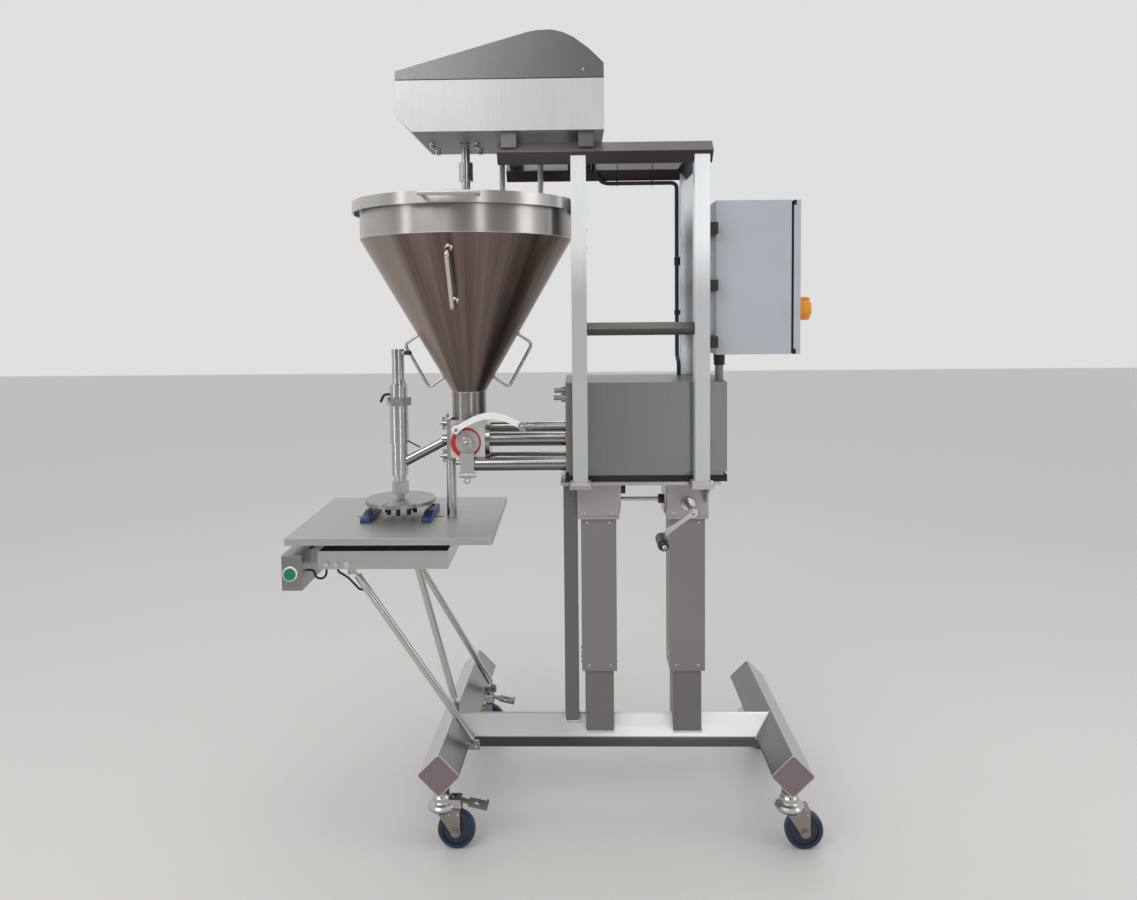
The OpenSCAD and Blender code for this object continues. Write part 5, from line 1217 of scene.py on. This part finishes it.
class DEPOSITOR_OT_studio(bpy.types.Operator):
    """Sets the floor, the light and the camera."""

    bl_idname = "depositor.studio"
    bl_label = "Studio"

    def execute(self, context):
        scene = context.scene
        studio = scene.depositor_studio
        scene.view_settings.view_transform = "Standard"
        self.floor(studio)
        self.world(scene, studio)
        self.lamp("key_softbox", (-1.7, -2.7, 3.3), (0.0, 0.0, 1.1), (2.4, 1.6), studio.key)
        self.lamp("top_softbox", (0.2, 0.2, 3.9), (0.0, 0.1, 0.0), (3.0, 2.2), studio.key * 0.8)
        self.lamp("side_softbox", (3.2, -1.3, 2.0), (0.1, 0.0, 1.1), (1.2, 2.2), studio.fill)
        self.lamp("left_strip", (-3.0, -1.9, 1.5), (-0.24, 0.0, 1.4), (0.35, 2.8), studio.strip)
        self.lamp("right_strip", (1.1, -3.6, 1.5), (-0.24, 0.0, 1.4), (0.3, 2.8), studio.strip)
        self.camera(scene, studio)
        return {"FINISHED"}

    def floor(self, studio):
        """A wide pale floor with faint cloudiness."""
        mesh = bpy.data.meshes.new("studio_floor")
        bm = bmesh.new()
        bmesh.ops.create_grid(bm, x_segments=2, y_segments=2, size=FLOOR_HALF)
        bm.to_mesh(mesh)
        bm.free()
        f = Finish("floor_finish")
        cloud = f.even_noise(0.9, 4.0)
        grit = f.even_noise(60.0, 3.0)
        shade = 0.5 + (cloud - 0.5) * 0.5 + (grit - 0.5) * 0.3
        f.give(
            Base_Color=f.blend(shade, toned(studio.floor, 0.95), toned(studio.floor, 1.05)),
            Roughness=0.42 + (cloud - 0.5) * 0.1,
        )
        mesh.materials.append(f.material)
        floor = linked("studio_floor", mesh)

    def world(self, scene, studio):
        """Pale surroundings that grow darker behind the camera, and plain light for matt surfaces."""
        world = bpy.data.worlds.new("studio_world")
        scene.world = world
        world.use_nodes = True
        w = Sheet(world.node_tree)
        w.tree.nodes.clear()
        way = w.node("ShaderNodeTexCoord", out="Generated")
        parts = w.node("ShaderNodeSeparateXYZ", None, {0: way})
        behind = w.ramp(parts.out(Y), 0.15, -0.75)
        low = w.ramp(parts.out(Z), 0.75, 0.25)
        room = w.blend(behind * low, studio.wall, studio.dusk)
        seen = w.node("ShaderNodeBackground", None, {"Color": room, "Strength": 1.0})
        plain = w.node("ShaderNodeBackground", None, {"Color": (0.80, 0.80, 0.80), "Strength": 0.95})
        ray = w.node("ShaderNodeLightPath", out="Is Camera Ray")
        sight = w.either(ray, ray.out("Is Glossy Ray"), ray.out("Is Transmission Ray"))
        mixed = w.node("ShaderNodeMixShader", None, {0: sight, 1: plain, 2: seen})
        w.node("ShaderNodeOutputWorld", None, {0: mixed})

    def lamp(self, name, place, target, spread, power):
        """A soft rectangular lamp that looks at a point."""
        data = bpy.data.lights.new(name, "AREA")
        data.shape = "RECTANGLE"
        data.size, data.size_y = spread
        data.energy = power
        lamp = linked(name, data)
        lamp.location = place
        lamp.rotation_mode = "QUATERNION"
        lamp.rotation_quaternion = (Vector(target) - Vector(place)).to_track_quat("-Z", "Y")

    def camera(self, scene, studio):
        """The camera stands where the photograph was taken from."""
        data = bpy.data.cameras.new("photo_camera")
        data.sensor_width = SENSOR_WIDTH
        data.lens = studio.lens
        data.shift_x, data.shift_y = (pixels / PHOTO_WIDTH for pixels in PHOTO_SHIFT)
        camera = linked("photo_camera", data)
        yaw, pitch, roll = (math.radians(d) for d in CAMERA_TURNS)
        ahead = Vector((math.sin(yaw) * math.cos(pitch), math.cos(yaw) * math.cos(pitch), -math.sin(pitch)))
        level = ahead.cross(Vector((0, 0, 1))).normalized()
        rise = level.cross(ahead).normalized()
        across = level * math.cos(roll) + rise * math.sin(roll)
        over = rise * math.cos(roll) - level * math.sin(roll)
        turn = Matrix((across, over, -ahead)).transposed()
        camera.matrix_world = Matrix.Translation(at(*CAMERA_PLACE)) @ turn.to_4x4()
        scene.camera = camera


class DEPOSITOR_PT_panel(bpy.types.Panel):
    """Lists the steps that dress the machine."""

    bl_label = "Food depositor"
    bl_idname = "DEPOSITOR_PT_panel"
    bl_space_type = "VIEW_3D"
    bl_region_type = "UI"
    bl_category = "Depositor"

    def draw(self, context):
        for step in STEPS:
            self.layout.operator(step.bl_idname)


STEPS = (
    DEPOSITOR_OT_studio,
    DEPOSITOR_OT_leads,
    DEPOSITOR_OT_brushed_steel,
    DEPOSITOR_OT_broken_edges,
    DEPOSITOR_OT_turned_steel,
    DEPOSITOR_OT_polished_steel,
    DEPOSITOR_OT_painted_parts,
    DEPOSITOR_OT_casters,
    DEPOSITOR_OT_small_parts,
    DEPOSITOR_OT_handles,
    DEPOSITOR_OT_fasteners,
    DEPOSITOR_OT_weld_beads,
    DEPOSITOR_OT_threads,
)
SETTINGS = {
    "depositor_finish": DepositorFinishSettings,
    "depositor_fastener": DepositorFastenerSettings,
    "depositor_studio": DepositorStudioSettings,
}


def register():
    """Adds the settings, the steps and the panel."""
    for cls in (*SETTINGS.values(), *STEPS, DEPOSITOR_PT_panel):
        bpy.utils.register_class(cls)
    for name, group in SETTINGS.items():
        setattr(bpy.types.Scene, name, bpy.props.PointerProperty(type=group))


def unregister():
    """Takes them away again."""
    for name in SETTINGS:
        delattr(bpy.types.Scene, name)
    for cls in reversed((*SETTINGS.values(), *STEPS, DEPOSITOR_PT_panel)):
        bpy.utils.unregister_class(cls)


def main():
    """Dresses the machine."""
    register()
    bpy.ops.depositor.studio()
    bpy.ops.depositor.leads()
    bpy.ops.depositor.brushed_steel()
    bpy.ops.depositor.broken_edges()
    bpy.ops.depositor.turned_steel()
    bpy.ops.depositor.polished_steel()
    bpy.ops.depositor.painted_parts()
    bpy.ops.depositor.casters()
    bpy.ops.depositor.small_parts()
    bpy.ops.depositor.handles()
    bpy.ops.depositor.fasteners()
    bpy.ops.depositor.weld_beads()
    bpy.ops.depositor.threads()


if __name__ == "__main__":
    main()
